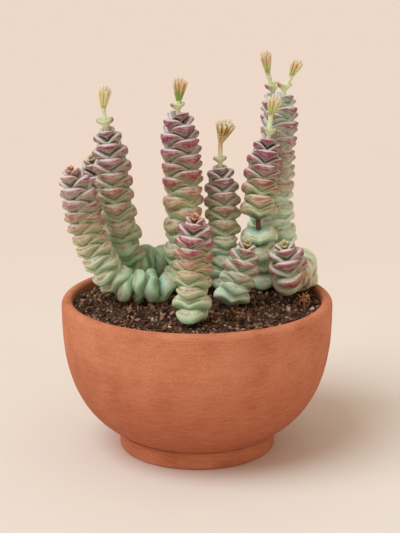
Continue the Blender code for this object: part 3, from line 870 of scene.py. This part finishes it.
def pair_table(stem):
    """Distance, size, cup and openness of each pair, from the tip down to the soil."""
    flowering = stem["tip"] == "flowering"
    sizes = FLOWERING_SIZES if flowering else ROSETTE_SIZES
    cups = FLOWERING_CUPS if flowering else ROSETTE_CUPS
    tip = travel(stem_line(stem))[-1]
    lowest = ROOT_DEPTH + stem["lowest"]
    distance, rows = tip, []
    while distance > lowest - PITCH_OPEN / 2:
        count = len(rows)
        opened = float(smooth_step((count - stem["crowded"]) / PITCH_CHANGE))
        size = sizes[count] if count < len(sizes) else 1.0
        crowded_cup = cups[count] if count < len(cups) else CUP_CROWDED
        rows.append((distance, size, crowded_cup + (CUP_OPEN - crowded_cup) * opened, opened))
        crowded, far = PITCH_CROWDED[stem["tip"]], stem.get("pitch", PITCH_OPEN)
        pitch = crowded + (far - crowded) * opened
        distance -= pitch * (PITCH_AT_TIP + (1 - PITCH_AT_TIP) * size)
    table = np.array(rows)
    table[:, 0] = tip - (tip - table[:, 0]) * (tip - lowest) / (tip - table[-1, 0])
    return table


def pair_axes(heading, turn):
    """Unit axes of pairs: along the leaves, across them, and up the core."""
    facing = unit(FRONT - heading * (heading @ FRONT)[:, None])
    side = np.cross(heading, facing)
    long_way = facing * np.cos(turn)[:, None] + side * np.sin(turn)[:, None]
    return np.stack([long_way, np.cross(heading, long_way), heading], axis=1)


for name, stem in STEMS.items():
    print(name, "has", len(pair_table(stem)), "pairs")

# %% [markdown]
# ## One leaf pair, and all of them at once
#
# Two opposite leaves have grown into one fleshy body round the core. Seen along the
# core its outline is a long superellipse with a slight point at each leaf's tip. Seen
# from the side both leaves fold up from the core, most in young pairs. The body is
# rounded at the margin, deep at the tips and thin between them, with a keel under each
# tip: a young leaf shows this keel as a sharp V, and an old, swollen one as a round
# belly. A rosette also carries two tiny, steeply folded pairs in its heart.
#
# The surface has two parameters. One runs round the core. The other runs from the
# middle of the top over the margin to the middle of the underside. One more array axis
# holds the pairs, so that one formula makes a whole stem.

# %% Leaf pairs
PAIR_AROUND = 52
TOP_ROWS = 8
UNDER_ROWS = 17
LEAF_WIDTH = 0.80
SPROUT_SIZES = (0.15, 0.21)
SPROUT_CUPS = (2.8, 1.8)
LEAF_POWER = 2.4
LEAF_POINT = (0.03, 0.0)
LEAF_POINT_WIDTH = 0.24
TOP_SWELL = (0.12, 0.20)
TOP_POWER = (2.4, 2.0)
KEEL_DEPTH = (0.62, 0.72)
TIP_DEPTH = (0.68, 0.80)
SIDE_DEPTH = (0.10, 0.42)
KEEL_POWER = (1.1, 2.4)
BELLY_POWER = 2.6
MARGIN_ANGLE = (0.62, 0.86)
FOLD_BEND = 1.6
DROOP = (0.04, 0.20)
SOFT_SIDE = 0.004
SOFT_FOLD = 0.0016
LEVEL_LOW = -1.0
LEVEL_HIGH = 2.0
UNEVEN = (0.12, 3.5)
TURN_WOBBLE = 3.0
REACH_WOBBLE = 0.015
CUP_WOBBLE = 0.02
AGE_WOBBLE = 0.05
SPROUTS_FADE = 0.9
DULL_AND_SHADE_WITHIN = 40


def young_to_old(pair, opened):
    """A size that goes from its value in a young pair to its value in an old one."""
    return (pair[0] + (pair[1] - pair[0]) * opened)[:, None, None]


def pair_surface(opened, cup, wrap=0.0):
    """Points of leaf pairs in shares of their reach, and each point's place on the leaf.

    The outline is (|cos a|^p + |sin a / width|^p)^(-1/p), with a small point at the tips.
    On top the section is a flat superellipse. The outer face is an arc that starts at the
    margin, bulges out to the outline and drops by the depth, which falls from the tip to
    the side; then it runs in to the keel. All is folded up on both sides by
    cup * tanh(bend * out) / tanh(bend), and droops by the fourth power of the distance out.
    A wrap above 0 adds the distance beside to out, so that the fold closes round like a cup.
    """
    angle = round_steps(PAIR_AROUND)
    away = np.abs(np.sin(angle))
    outline = (np.abs(np.cos(angle)) ** LEAF_POWER
               + (away / LEAF_WIDTH) ** LEAF_POWER) ** (-1 / LEAF_POWER)
    point = young_to_old(LEAF_POINT, opened)
    outline = outline * (1 + point * np.exp(-(away / LEAF_POINT_WIDTH) ** 2))
    across = np.minimum(np.sqrt((outline * away / LEAF_WIDTH) ** 2 + SOFT_SIDE), 1)
    tip, side = young_to_old(TIP_DEPTH, opened), young_to_old(SIDE_DEPTH, opened)
    depth = tip - (tip - side) * across ** young_to_old(KEEL_POWER, opened)
    keel = young_to_old(KEEL_DEPTH, opened)

    swell, power = young_to_old(TOP_SWELL, opened), young_to_old(TOP_POWER, opened)
    edge = young_to_old(MARGIN_ANGLE, opened)
    edge_share, edge_rise = np.cos(edge) ** (2 / BELLY_POWER), np.sin(edge) ** (2 / BELLY_POWER)
    down = (np.pi / 2 * np.arange(1, TOP_ROWS + 1) / TOP_ROWS)[None, :, None]
    top_spread = np.sin(down) ** (2 / power)
    top_rise = swell * np.cos(down).clip(0) ** (2 / power)
    inward = (np.arange(1, UNDER_ROWS) / UNDER_ROWS)[None, :, None]
    turn = -edge + (np.pi / 2 + edge) * inward
    under_spread = np.cos(turn).clip(0) ** (2 / BELLY_POWER)
    drop = np.sign(turn) * np.abs(np.sin(turn)) ** (2 / BELLY_POWER)
    drop = (drop + edge_rise) / (1 + edge_rise)
    under_rise = -(depth * drop + (keel - depth) * inward ** 3)

    ones = np.ones((len(opened), 1, PAIR_AROUND))
    share = np.concatenate([edge_share * top_spread * ones, under_spread * ones], axis=1)
    spread = share * outline
    rise = np.concatenate([top_rise * ones, under_rise * ones], axis=1)
    level = np.concatenate([(top_spread - 1) * ones, -under_rise / depth * ones], axis=1)
    out, beside = spread * np.cos(angle), spread * np.sin(angle)
    lifted = np.sqrt(out ** 2 + (wrap * beside) ** 2 + SOFT_FOLD)
    fold = np.tanh(FOLD_BEND * lifted) / math.tanh(FOLD_BEND)
    rise = rise + cup[:, None, None] * fold - young_to_old(DROOP, opened) * out ** 4
    tipward = np.abs(np.cos(angle)) * np.minimum(spread, 1)
    points = between_poles(swell * UP, np.stack([out, beside, rise], axis=-1), 0 - keel * UP)
    return points, between_poles(LEVEL_LOW, level, LEVEL_HIGH), between_poles(0.0, tipward, 0.0)


def stem_leaves(name, stem, seed):
    """All leaf pairs of a stem, with the values that their colour is worked out from."""
    draw = np.random.default_rng(seed)
    table = pair_table(stem)
    rosette = stem["tip"] == "rosette"
    sprouts = len(SPROUT_SIZES) if rosette else 0
    number = np.setdiff1d(np.arange(len(table)), stem.get("bare", ()))
    number = np.concatenate([np.arange(-sprouts, 0), number])
    distance, size, cup, opened = table[number.clip(0)].T
    size[:sprouts], cup[:sprouts] = SPROUT_SIZES[:sprouts], SPROUT_CUPS[:sprouts]
    count = len(number)
    spots, heading = spots_along(stem_line(stem), distance)
    wobble = np.radians(draw.normal(0, TURN_WOBBLE, count))
    axes = pair_axes(heading, np.radians(stem["turn"] + 90 * number) + wobble)
    reach = stem["reach"] * size * (1 + draw.normal(0, REACH_WOBBLE, count))
    local, level, tipward = pair_surface(opened, cup + draw.normal(0, CUP_WOBBLE, count))
    points = spots[:, None, :] + np.einsum("nki,nij->nkj", local * reach[:, None, None], axes)
    points = points * MM
    height, width = UNEVEN
    points = points + height * MM * relief(points, width * MM, seed)[..., None] * UP
    beyond = distance[0] - distance
    age = np.clip(beyond / stem["blush_length"] + draw.normal(0, AGE_WOBBLE, count), 0, 2)
    fresh = np.exp(-number.clip(0) / SPROUTS_FADE) * rosette
    # Painted shade, partly real dulling of old pairs: it grows beyond a distance from the tip.
    dull_and_shade = stem.get("dull_and_shade", 0) * smooth_step((beyond - stem.get("dull_and_shade_from", 0)) / DULL_AND_SHADE_WITHIN)
    values = {"level": level, "tipward": tipward}
    for label, each in (("age", age), ("fresh", fresh), ("dull_and_shade", dull_and_shade)):
        values[label] = np.repeat(each, level.shape[1])
    # pale is painted light for stems that stand in shade; blush, purple and warm are the stems' own
    # colours.
    for label in ("blush", "purple", "warm", "pale"):
        values[label] = np.full(level.size, stem.get(label, 0.0))
    return balls_mesh(name, points, TOP_ROWS + UNDER_ROWS - 1, PAIR_AROUND, values)


# %% [markdown]
# ## The skin of the leaves
#
# The skin is a waxy grey green. Just under its margin each leaf carries a red band,
# which is widest and deepest at the tip, and a fine pale line of wax runs along the
# margin itself. Young pairs are magenta and almost covered, middle ones brick red on
# olive, and the old ones at the foot keep a broken rust line on blue green. The heart
# of a rosette is orange on some stems and yellow on others.
#
# So the colour depends on values that each point stores: level, which is 0 on the
# margin, below 0 on top and 1 where the outer face ends, tipward, and age, and a few
# that differ from stem to stem. Ramps along level give the young and the grown leaf and
# the strength of the band, and one along age gives the band's hue. Fine noise shifts
# level up and down a little, so that every edge between two colours is ragged. Growth
# lines run along the leaf: noise that changes quickly with level and slowly with place
# makes the band streaky and draws thin brown lines on the skin.

# %% The leaves' finish
def on_level(level):
    """Where a level lies on a ramp that runs from LEVEL_LOW to LEVEL_HIGH."""
    return (level - LEVEL_LOW) / (LEVEL_HIGH - LEVEL_LOW)


def green_skin(skin, place, age):
    """The skin under the blush: young, half grown and grown, with painted shade in it, and what
    differs by stem, painted shade and painted light among it.
    """
    # Both ramps are darker at the middle of the top, which the pair above shades, and towards the
    # keel underneath: painted shade.
    grown = skin.ramp(place, marks(
        (-1, 152, 198, 168), (-0.3, 190, 228, 206), (-0.05, 226, 238, 204),
        (0.15, 222, 238, 192), (0.5, 204, 242, 206), (0.9, 180, 224, 180),
        (1.3, 104, 130, 92), (2, 84, 104, 74), along=on_level))
    young = skin.ramp(place, marks(
        (-1, 138, 112, 106), (-0.3, 180, 182, 168), (-0.05, 222, 208, 206),
        (0.5, 200, 206, 188), (0.9, 192, 204, 182), (1.3, 128, 96, 92), (2, 104, 76, 72),
        along=on_level))
    # Painted shade, partly real dulling: old pairs far down some stems are darkened.
    dull_and_shade = skin.blend(1.0, grown, tone(180, 208, 190), "MULTIPLY")
    grown = skin.blend(skin.value("dull_and_shade"), grown, dull_and_shade)
    olive = skin.blend(1.0, grown, tone(252, 246, 220), "MULTIPLY")
    half_grown = skin.blend(skin.stretch(age, 0.12, 0.32), young, olive)
    green = skin.blend(skin.stretch(age, 0.38, 0.62), half_grown, grown)
    # Painted light: stems that stand in the shade of others are paled towards a light green.
    return skin.blend(skin.value("pale"), green, tone(222, 248, 224))


def blush_hue(skin, age):
    """Crimson that turns to rust with age, with violet where soft noise is high."""
    red = skin.ramp(age, marks((0, 138, 34, 72), (0.3, 158, 46, 60), (0.5, 186, 88, 66),
                               (0.8, 200, 130, 92)))
    violet = skin.ramp(age, marks((0, 116, 44, 92), (0.4, 146, 54, 84), (0.7, 190, 112, 92)))
    soft = skin.stretch(skin.noise(4 * MM, detail=2), 0.35, 0.65)
    return skin.blend(skin.times(skin.value("purple"), soft, clamp=True), red, violet)


def blush_amount(skin, level, place, age, patchy, growth):
    """The band's strength: more at the tip, less with age, and broken up by noise."""
    band = skin.ramp(place, marks(
        (-0.9, 0), (-0.35, 0.4), (-0.02, 0.5), (0.08, 1), (0.42, 1), (0.72, 0.72),
        (0.95, 0.3), (2, 0.1), along=on_level))
    faded = skin.ramp(age, marks((0, 1), (0.3, 0.95), (0.45, 0.7), (0.6, 0.3), (0.8, 0.14),
                                 (1, 0.08)))
    tipward = skin.value("tipward")
    shoulder = skin.times(skin.stretch(tipward, 0.30, 0.75, 0.75, 0.0),
                          skin.stretch(level, 0.10, 0.34, 1.0, 0.0))
    return skin.times(band, faded, skin.stretch(tipward, 0.10, 0.80, 0.75, 1.15),
                      skin.sum("SUBTRACT", 1.0, shoulder),
                      skin.stretch(patchy, 0.35, 0.6, 1.1, 0.75),
                      skin.stretch(growth, 0.38, 0.6, 0.7, 1.2), skin.value("blush"), clamp=True)


def worn_rim(skin, wavy, age, patchy):
    """A thin broken line of rust just under the margin of the older leaves."""
    rim = skin.ramp(skin.stretch(wavy, LEVEL_LOW, LEVEL_HIGH), marks(
        (0.02, 0), (0.07, 0.9), (0.12, 0.9), (0.20, 0), along=on_level))
    older = skin.ramp(age, marks((0.3, 0), (0.5, 1), (1, 0.6)))
    return skin.times(rim, older, skin.stretch(patchy, 0.4, 0.58, 0.95, 0.15))


def sprout_colour(skin, place):
    """The heart of a rosette: yellow on some stems, orange on others."""
    yellow = skin.ramp(place, marks((-1, 150, 148, 88), (-0.1, 212, 206, 146),
                                    (0.3, 190, 166, 104), (2, 142, 148, 92), along=on_level))
    orange = skin.ramp(place, marks((-1, 170, 112, 76), (-0.1, 226, 176, 134),
                                    (0.3, 196, 92, 70), (2, 150, 96, 70), along=on_level))
    return skin.blend(skin.value("warm"), yellow, orange)


def leaf_finish():
    """Skin, blush, growth lines, rim, sprout, wax, powder and spots, one over the other."""
    skin = Finish("waxy leaf skin", 0.45, Specular_IOR_Level=0.4, Subsurface_Weight=0.35,
                  Subsurface_Radius=(1.0, 0.7, 0.45), Subsurface_Scale=2 * MM)
    ragged = skin.noise(0.8 * MM, detail=5, rough=0.7)
    patchy = skin.noise(2.6 * MM, detail=4, rough=0.65)
    clean = skin.value("level")
    growth = skin.lines(clean, 7, 5 * MM)
    shift = skin.stretch(ragged, 0.3, 0.7, -0.2, 0.2)
    level = skin.sum("ADD", clean, shift)
    place = skin.stretch(level, LEVEL_LOW, LEVEL_HIGH)
    age = skin.times(skin.value("age"), 0.5)
    amount = blush_amount(skin, level, place, age, patchy, growth)
    blushed = skin.blend(amount, green_skin(skin, place, age), blush_hue(skin, age))
    scored = skin.blend(skin.stretch(growth, 0.54, 0.64, 0.0, 0.35), blushed, tone(142, 92, 70))
    wavy = skin.sum("ADD", clean, skin.times(shift, 0.18))
    rimmed = skin.blend(worn_rim(skin, wavy, age, patchy), scored, tone(166, 92, 66))
    fresh = skin.blend(skin.value("fresh"), rimmed, sprout_colour(skin, place))
    line = skin.ramp(skin.stretch(clean, LEVEL_LOW, LEVEL_HIGH), marks(
        (-0.12, 0), (-0.04, 0.9), (0.01, 0.9), (0.09, 0), along=on_level))
    wax = skin.times(line, skin.stretch(age, 0.2, 0.7, 0.75, 0.2))
    waxed = skin.blend(wax, fresh, tone(236, 222, 222))
    powder = skin.stretch(skin.noise(1.8 * MM, detail=5, rough=0.7), 0.48, 0.75, 0.0, 0.22)
    powdered = skin.blend(powder, waxed, tone(206, 214, 204))
    spots = skin.stretch(skin.noise(1.7 * MM, detail=1), 0.73, 0.80, 0.0, 0.65)
    skin.colour(skin.blend(spots, powdered, tone(108, 66, 54)))
    skin.surface(Roughness=skin.stretch(ragged, 0.3, 0.7, 0.38, 0.58))
    skin.bump(ragged, 0.14 * MM, 0.7)
    return skin.material


leaf_skin = leaf_finish()
for number, (name, stem) in enumerate(STEMS.items()):
    place_piece("leaves_" + name, stem_leaves("leaves " + name, stem, 60 + number),
                leaf_skin, ["column_" + name])

# %% [markdown]
# ## The cores
#
# Between the open pairs at the foot the core shows: a thin stem of red brown cork with
# a ring where each pair grows out of it. It is a tube whose radius swells a little at
# every pair.

# %% The cores
CORE_RADIUS = 1.5
CORE_TIP_SHARE = 0.5
CORE_STEPS = 140
CORE_SIDES = 20
CORE_BELOW_TIP = 1.0
CORE_END = 0.8
RING_SWELL = 0.14
RING_WIDTH = 0.7
CORK_UNEVEN = (0.05, 0.8)


def core_mesh(name, stem, seed):
    """A tube along the stem's line, with a low ring at each pair."""
    table = pair_table(stem)
    top = table[0, 0] - CORE_BELOW_TIP
    steps = np.linspace(0, top, CORE_STEPS)
    spots, _ = spots_along(stem_line(stem), steps)
    share = np.clip((steps - ROOT_DEPTH) / (top - ROOT_DEPTH), 0, 1)
    radius = CORE_RADIUS * (1 - (1 - CORE_TIP_SHARE) * share)
    nearest = np.abs(steps[:, None] - table[None, :, 0]).min(axis=1)
    radius = radius * (1 + RING_SWELL * np.exp(-(nearest / RING_WIDTH) ** 2))
    height, width = CORK_UNEVEN
    radius = radius * (1 + height * relief(spots * MM, width * MM, seed))
    radius = radius * np.sqrt(np.clip((top - steps) / CORE_END, 0.02, 1))
    return tube_mesh(name, spots[None] * MM, radius[None] * MM, CORE_SIDES)


def core_finish():
    cork = Finish("corky stem", 0.8, Specular_IOR_Level=0.3)
    rings = cork.noise(1.0 * MM, detail=4, stretch=(1, 1, 2.5), rough=0.7)
    cork.colour(cork.ramp(rings, marks((0.3, 84, 52, 42), (0.55, 128, 84, 66),
                                       (0.8, 160, 122, 96))))
    cork.bump(rings, 0.25 * MM)
    return cork.material


cork = core_finish()
for number, (name, stem) in enumerate(STEMS.items()):
    place_piece("core_" + name, core_mesh("core " + name, stem, 80 + number), cork)

# %% [markdown]
# ## The sprays of buds
#
# Six stems end in a flower stalk: a pale green stalk, a pair of cupped bracts, and a
# tuft of slender buds on their own short stems. Each bud is five petals rolled to a
# point. Round it, the radius has five soft ribs, and along it, it swells from the green
# calyx and closes at the tip.

# %% The sprays' table
STALK_FOOT = 1.0
STALK_MIDDLE = 0.95
STALK_HEAD = 1.05
BRACTS_AT = 2.4
BRACT_CUP = 1.0
BRACT_TURN = 80
BRACT_WRAP = 0.7
BUDS_APART = 0.5
BUDS_SUNK = 0.8
OUTER_SHORTER = 0.16
CHANCE_SHORTER = 0.06
BUD_RADIUS = 0.62
BUD_SWELL = (0.62, 0.75, 0.62)
BUD_FLARE = 0.55
BUD_ROWS = 12
BUD_AROUND = 20
BUD_END = 0.12
PETALS = 5
GOLDEN_ANGLE = 2.4
STALK_STEPS = 24
STALK_SIDES = 16
TWIG_STEPS = 7
TWIG_SIDES = 8
TWIG_DEPTH = 1.5
TWIG_RADII = (0.45, 0.38, 0.5)
TWIG_ARCH = 0.8

SPRAYS = {
    "tall_left": dict(lean=0.2, stalk=10.5, nod=0.2, buds=14, bud=11.0, spread=3.0,
                      bracts=3.7, share=0.85, ripe=0.1, rosy=0.15, leafy=0.1),
    "tall_middle": dict(lean=0.5, stalk=5.8, nod=0, buds=15, bud=11.9, spread=3.6,
                        bracts=3.2, share=0.85, ripe=0.0, rosy=0.6, leafy=1.1),
    "middle": dict(lean=0.6, stalk=11.2, nod=0.3, buds=22, bud=12.4, spread=5.2,
                   bracts=2.9, share=0.5, ripe=0.9, rosy=0.0, leafy=0.0),
    "tall_right": dict(lean=-0.5, stalk=10.5, nod=0.14, buds=15, bud=10.8, spread=3.8,
                       bracts=3.2, share=0.8, ripe=0.1, rosy=0.15, leafy=0.35),
    "back_right": dict(lean=2.4, stalk=8.4, nod=0, buds=13, bud=9.5, spread=3.4,
                       bracts=3.4, share=0.75, ripe=0.1, rosy=0.65, leafy=0.4),
    "hidden_right": dict(lean=-1.6, stalk=9.8, nod=0.16, buds=13, bud=12.4, spread=2.8,
                         bracts=3.7, share=0.8, ripe=0.1, rosy=0.65, leafy=0.5),
}


def spray_line(stem, spray):
    """Foot, bracts and head of a stalk in mm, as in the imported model, and the foot's heading."""
    distance, size, cup, _ = pair_table(stem)[0]
    (foot,), (heading,) = spots_along(stem_line(stem), np.array([distance]))
    reach = stem["reach"] * size
    fold = cup * math.tanh(FOLD_BEND * STALK_FOOT / reach) / math.tanh(FOLD_BEND)
    seat = reach * (TOP_SWELL[0] + fold)
    foot = foot + heading * (seat + GAP / MM)
    head = foot + heading * spray["stalk"] + np.array([spray["lean"], 0, 0])
    return foot, foot + heading * BRACTS_AT, head, heading


def tuft(spray, bracts, head, draw):
    """Start, aim and length of each bud, on an opening spiral, and the way the tuft points."""
    number = np.arange(spray["buds"])
    share = np.sqrt((number + 0.5) / spray["buds"])
    angle = number * GOLDEN_ANGLE
    offset = np.stack([np.cos(angle), np.sin(angle), 0 * angle], axis=-1)
    offset = offset * (share * spray["spread"])[:, None]
    direction = unit(unit(head - bracts) + np.array([spray["nod"], 0, 0]))
    aim = unit(direction * spray["bud"] + offset)
    shorter = OUTER_SHORTER * share ** 2 + CHANCE_SHORTER * draw.uniform(0, 1, len(number))
    whole = spray["bud"] * (1 - shorter)
    length = whole * spray["share"]
    start = head - direction * BUDS_SUNK + aim * (whole - length)[:, None]
    return start + offset * (BUDS_APART / spray["spread"]), aim, length, direction


def stalk_mesh(name, spray, foot, bracts, head):
    """The stalk: straight up to the bracts, and from there straight to its head."""
    steps = np.linspace(0, 1, STALK_STEPS)
    bend = BRACTS_AT / spray["stalk"]
    line = foot + (bracts - foot) * np.minimum(steps / bend, 1)[:, None]
    line = line + (head - bracts) * np.clip((steps - bend) / (1 - bend), 0, 1)[:, None]
    radius = np.interp(steps, [0, bend, 1], [STALK_FOOT, STALK_MIDDLE, STALK_HEAD])
    values = {"rise": 0.6 * steps[None], "ripe": np.full((1, STALK_STEPS), spray["ripe"])}
    return tube_mesh(name, line[None] * MM, radius[None] * MM, STALK_SIDES, values)


def twig_mesh(name, spray, head, direction, start):
    """A thin twig from the stalk's head to the start of each bud."""
    shape = (len(start), TWIG_STEPS)
    walk = np.linspace(0, 1, TWIG_STEPS)
    root = head - direction * TWIG_DEPTH
    line = root + (start - root)[:, None, :] * walk[:, None]
    line = line + direction * (TWIG_ARCH * walk * (1 - walk))[:, None]
    radius = np.interp(walk, [0, 0.3, 1], TWIG_RADII)
    values = {"rise": np.broadcast_to(0.5 + 0.2 * walk, shape), "ripe": np.full(shape, spray["ripe"])}
    return tube_mesh(name, line * MM, np.broadcast_to(radius, shape) * MM, TWIG_SIDES, values)


def bud_mesh(name, spray, start, aim, length, draw):
    """Many buds at once: five ribs round, a swelling along, and a closed tip."""
    count = len(start)
    share = np.linspace(0, 1, BUD_ROWS)[:, None]
    angle = round_steps(BUD_AROUND)
    opening = spray["ripe"] * draw.uniform(0.5, 1.0, (count, 1, 1))
    calyx, swell, taper = BUD_SWELL
    body = calyx + swell * share - taper * share ** 2 + opening * BUD_FLARE * share ** 3
    close = np.sqrt(np.clip(1 - ((share - 0.78) / 0.22).clip(0) ** 2, 0.02, 1))
    ribs = np.cos(PETALS * angle)
    radius = BUD_RADIUS * body * close * (1 + (0.05 + 0.13 * share) * ribs)
    rise = share * length[:, None, None] * (1 + 0.05 * share ** 4 * ribs)
    side = unit(np.cross(aim, np.array([0.3, 1.0, 0.1])))
    front = np.cross(aim, side)
    ring = (np.cos(angle)[:, None] * side[:, None, None, :]
            + np.sin(angle)[:, None] * front[:, None, None, :])
    grid = start[:, None, None, :] + radius[..., None] * ring
    grid = grid + rise[..., None] * aim[:, None, None, :]
    first, last = grid[:, :1].mean(axis=2), grid[:, -1:].mean(axis=2)
    points = between_poles(first, grid, last + aim[:, None, :] * BUD_END)
    whole = np.ones((count, 1, 1))
    along = between_poles(0.0, share * np.ones(BUD_AROUND) * whole, 1.0)
    groove = between_poles(0.0, np.tile(0.5 - 0.5 * ribs, (BUD_ROWS, 1)) * whole, 0.0)
    shades = {kind: spray[kind] * draw.uniform(0.6, 1.3, (count, 1)) * np.ones_like(along)
              for kind in ("ripe", "rosy", "leafy")}
    return balls_mesh(name, points * MM, BUD_ROWS, BUD_AROUND,
                      {"along": along, "groove": groove, **shades}, turned=True)


def bract_mesh(name, stem, spray, spot, heading):
    """The pair of cupped bracts, made by the same formula as a leaf pair."""
    local, level, tipward = pair_surface(np.zeros(1), np.array([BRACT_CUP]), BRACT_WRAP)
    axes = pair_axes(heading[None], np.radians([stem["turn"] + BRACT_TURN]))
    points = spot + np.einsum("nki,nij->nkj", local * spray["bracts"], axes)
    return balls_mesh(name, points * MM, TOP_ROWS + UNDER_ROWS - 1, PAIR_AROUND,
                      {"level": level, "tipward": tipward})


# %% [markdown]
# The stalks are a pale, almost glassy yellow green. A bud is pale yellow green at its
# foot and cream towards its tip. On some stems the buds are flushed with orange pink
# (rosy) or sheathed in green sepals (leafy), and a ripe one has dried to a golden
# brown. The bracts are pale green cups with reddish tips.

# %% The sprays' finishes
def stalk_finish():
    flesh = Finish("pale flower stalk", 0.5, Subsurface_Weight=0.25,
                   Subsurface_Radius=(1.0, 0.8, 0.4), Subsurface_Scale=1.0 * MM)
    mottle = flesh.noise(1.5 * MM, detail=3)
    rise = flesh.value("rise")
    pale = flesh.ramp(rise, marks((0, 236, 216, 196), (0.3, 228, 238, 214), (0.6, 228, 232, 190),
                                  (0.8, 226, 216, 158)))
    dried = flesh.ramp(rise, marks((0.2, 232, 222, 190), (0.45, 230, 224, 180),
                                   (0.54, 232, 180, 152), (0.7, 226, 188, 130)))
    aged = flesh.blend(flesh.value("ripe"), pale, dried)
    flesh.colour(flesh.blend(flesh.stretch(mottle, 0.4, 0.7, 0.0, 0.4), aged, tone(206, 212, 164)))
    flesh.bump(mottle, 0.1 * MM, 0.5)
    return flesh.material


def bud_finish():
    petal = Finish("bud petals", 0.5, Subsurface_Weight=0.25,
                   Subsurface_Radius=(1.0, 0.7, 0.3), Subsurface_Scale=0.8 * MM)
    mottle = petal.noise(0.8 * MM, detail=3)
    shift = petal.times(petal.sum("SUBTRACT", mottle, 0.5), 0.4)
    along = petal.sum("ADD", petal.value("along"), shift)
    fresh = petal.ramp(along, marks((0, 206, 216, 142), (0.3, 240, 238, 172), (0.6, 254, 246, 200),
                                    (0.85, 254, 238, 196), (1, 254, 246, 232)))
    sepal = petal.times(petal.value("leafy"), petal.stretch(along, 0.35, 0.95, 1, 0), clamp=True)
    greened = petal.blend(sepal, fresh, tone(142, 168, 76))
    flush = petal.ramp(along, marks((0.35, 0), (0.62, 0.75), (0.82, 0.75), (1, 0.2)))
    flushed = petal.times(petal.value("rosy"), flush, clamp=True)
    blushed = petal.blend(flushed, greened, tone(236, 158, 124))
    ripe = petal.ramp(along, marks((0, 196, 150, 88), (0.45, 190, 142, 72), (0.7, 222, 182, 118),
                                   (0.9, 252, 240, 216)))
    aged = petal.blend(petal.value("ripe"), blushed, ripe)
    # The grooves between the petals are darkened to tan: partly the buds' own lines, partly painted
    # shade in the grooves.
    crease = petal.times(petal.value("groove"), petal.stretch(along, 0.1, 0.5, 0, 0.3))
    petal.colour(petal.blend(crease, aged, tone(204, 174, 100)))
    petal.bump(mottle, 0.12 * MM, 0.6)
    return petal.material


def bract_finish():
    cup = Finish("flower bracts", 0.5, Subsurface_Weight=0.12,
                 Subsurface_Radius=(1.0, 0.7, 0.3), Subsurface_Scale=1.0 * MM)
    mottle = cup.noise(1.0 * MM, detail=3)
    shift = cup.times(cup.sum("SUBTRACT", mottle, 0.5), 0.4)
    tipward = cup.sum("ADD", cup.value("tipward"), shift)
    cup.colour(cup.ramp(tipward, marks((0.2, 226, 234, 190), (0.66, 206, 216, 164),
                                       (0.86, 206, 164, 140), (1, 150, 88, 84))))
    cup.bump(mottle, 0.12 * MM, 0.5)
    return cup.material


stalk_skin, petal_skin, bract_skin = stalk_finish(), bud_finish(), bract_finish()
for number, (name, spray) in enumerate(SPRAYS.items()):
    stem = STEMS[name]
    label = "spray " + name
    draw = np.random.default_rng(100 + number)
    foot, bracts, head, heading = spray_line(stem, spray)
    start, aim, length, direction = tuft(spray, bracts, head, draw)
    place_piece("stalk_" + name, stalk_mesh(label + " stalk", spray, foot, bracts, head),
                stalk_skin, ["flowers_" + name])
    place_piece("twigs_" + name, twig_mesh(label + " twigs", spray, head, direction, start),
                stalk_skin)
    place_piece("buds_" + name, bud_mesh(label + " buds", spray, start, aim, length, draw),
                petal_skin)
    place_piece("bracts_" + name, bract_mesh("bracts " + name, stem, spray, bracts, heading),
                bract_skin)

# %% [markdown]
# ## The dried sprig
#
# At the right, an old flower has dried to a thin stick with curled orange brown scraps.
# Each scrap is a narrow tube on a spiral that starts in the upper part of the stick.

# %% The dried sprig
SPRIG_PLACE = (47.4, -7.5)
SPRIG_HEIGHT = 6.5
SPRIG_DEPTH = 4.0
SPRIG_RADIUS = 0.45
SPRIG_LEAN = -0.5
SPRIG_STEPS = 14
SCRAPS = 14
SCRAPS_FROM = 0.72
SCRAP_REACH = 3.2
SCRAP_RISE = 4.6
SCRAP_FALL = 4.4
SCRAP_RADII = (0.2, 0.36)
SCRAP_SIDES = 7


def sprig_mesh():
    """A bent stick and its scraps, all as tubes of the same number of steps."""
    draw = np.random.default_rng(131)
    share = np.linspace(0, 1, SPRIG_STEPS)
    foot = np.array([*SPRIG_PLACE, SOIL_TOP / MM - SPRIG_DEPTH])
    top = foot + np.array([SPRIG_LEAN, 0, SPRIG_DEPTH + SPRIG_HEIGHT])
    stick = foot + (top - foot) * share[:, None]
    paths, radii = [stick], [SPRIG_RADIUS * (1 - 0.35 * share)]
    for count in range(SCRAPS):
        start = foot + (top - foot) * draw.uniform(SCRAPS_FROM, 1.0)
        angle = math.tau * count / SCRAPS + 2.6 * share * draw.uniform(-0.6, 1.0)
        reach = SCRAP_REACH * draw.uniform(0.45, 1.0) * np.sin(2.0 * share)
        rise = SCRAP_RISE * share * draw.uniform(0.2, 1.0)
        rise = rise - SCRAP_FALL * share ** 2 * draw.uniform(0.1, 1.3)
        paths.append(np.stack([start[0] + reach * np.cos(angle), start[1] + reach * np.sin(angle),
                               start[2] + rise], axis=-1))
        radii.append(draw.uniform(*SCRAP_RADII) * np.sin(math.pi * (0.12 + 0.8 * share)))
    tones = np.repeat(draw.uniform(0.3, 1, SCRAPS + 1)[:, None], SPRIG_STEPS, axis=1)
    return tube_mesh("dried sprig", np.array(paths) * MM, np.array(radii) * MM, SCRAP_SIDES,
                     {"tone": tones})


dry_skin = grain_finish("dried petals", 0.9, (0, 140, 84, 56), (0.5, 204, 130, 90),
                        (1, 232, 182, 142))
place_piece("old_flower", sprig_mesh(), dry_skin, ["dried_sprig"])
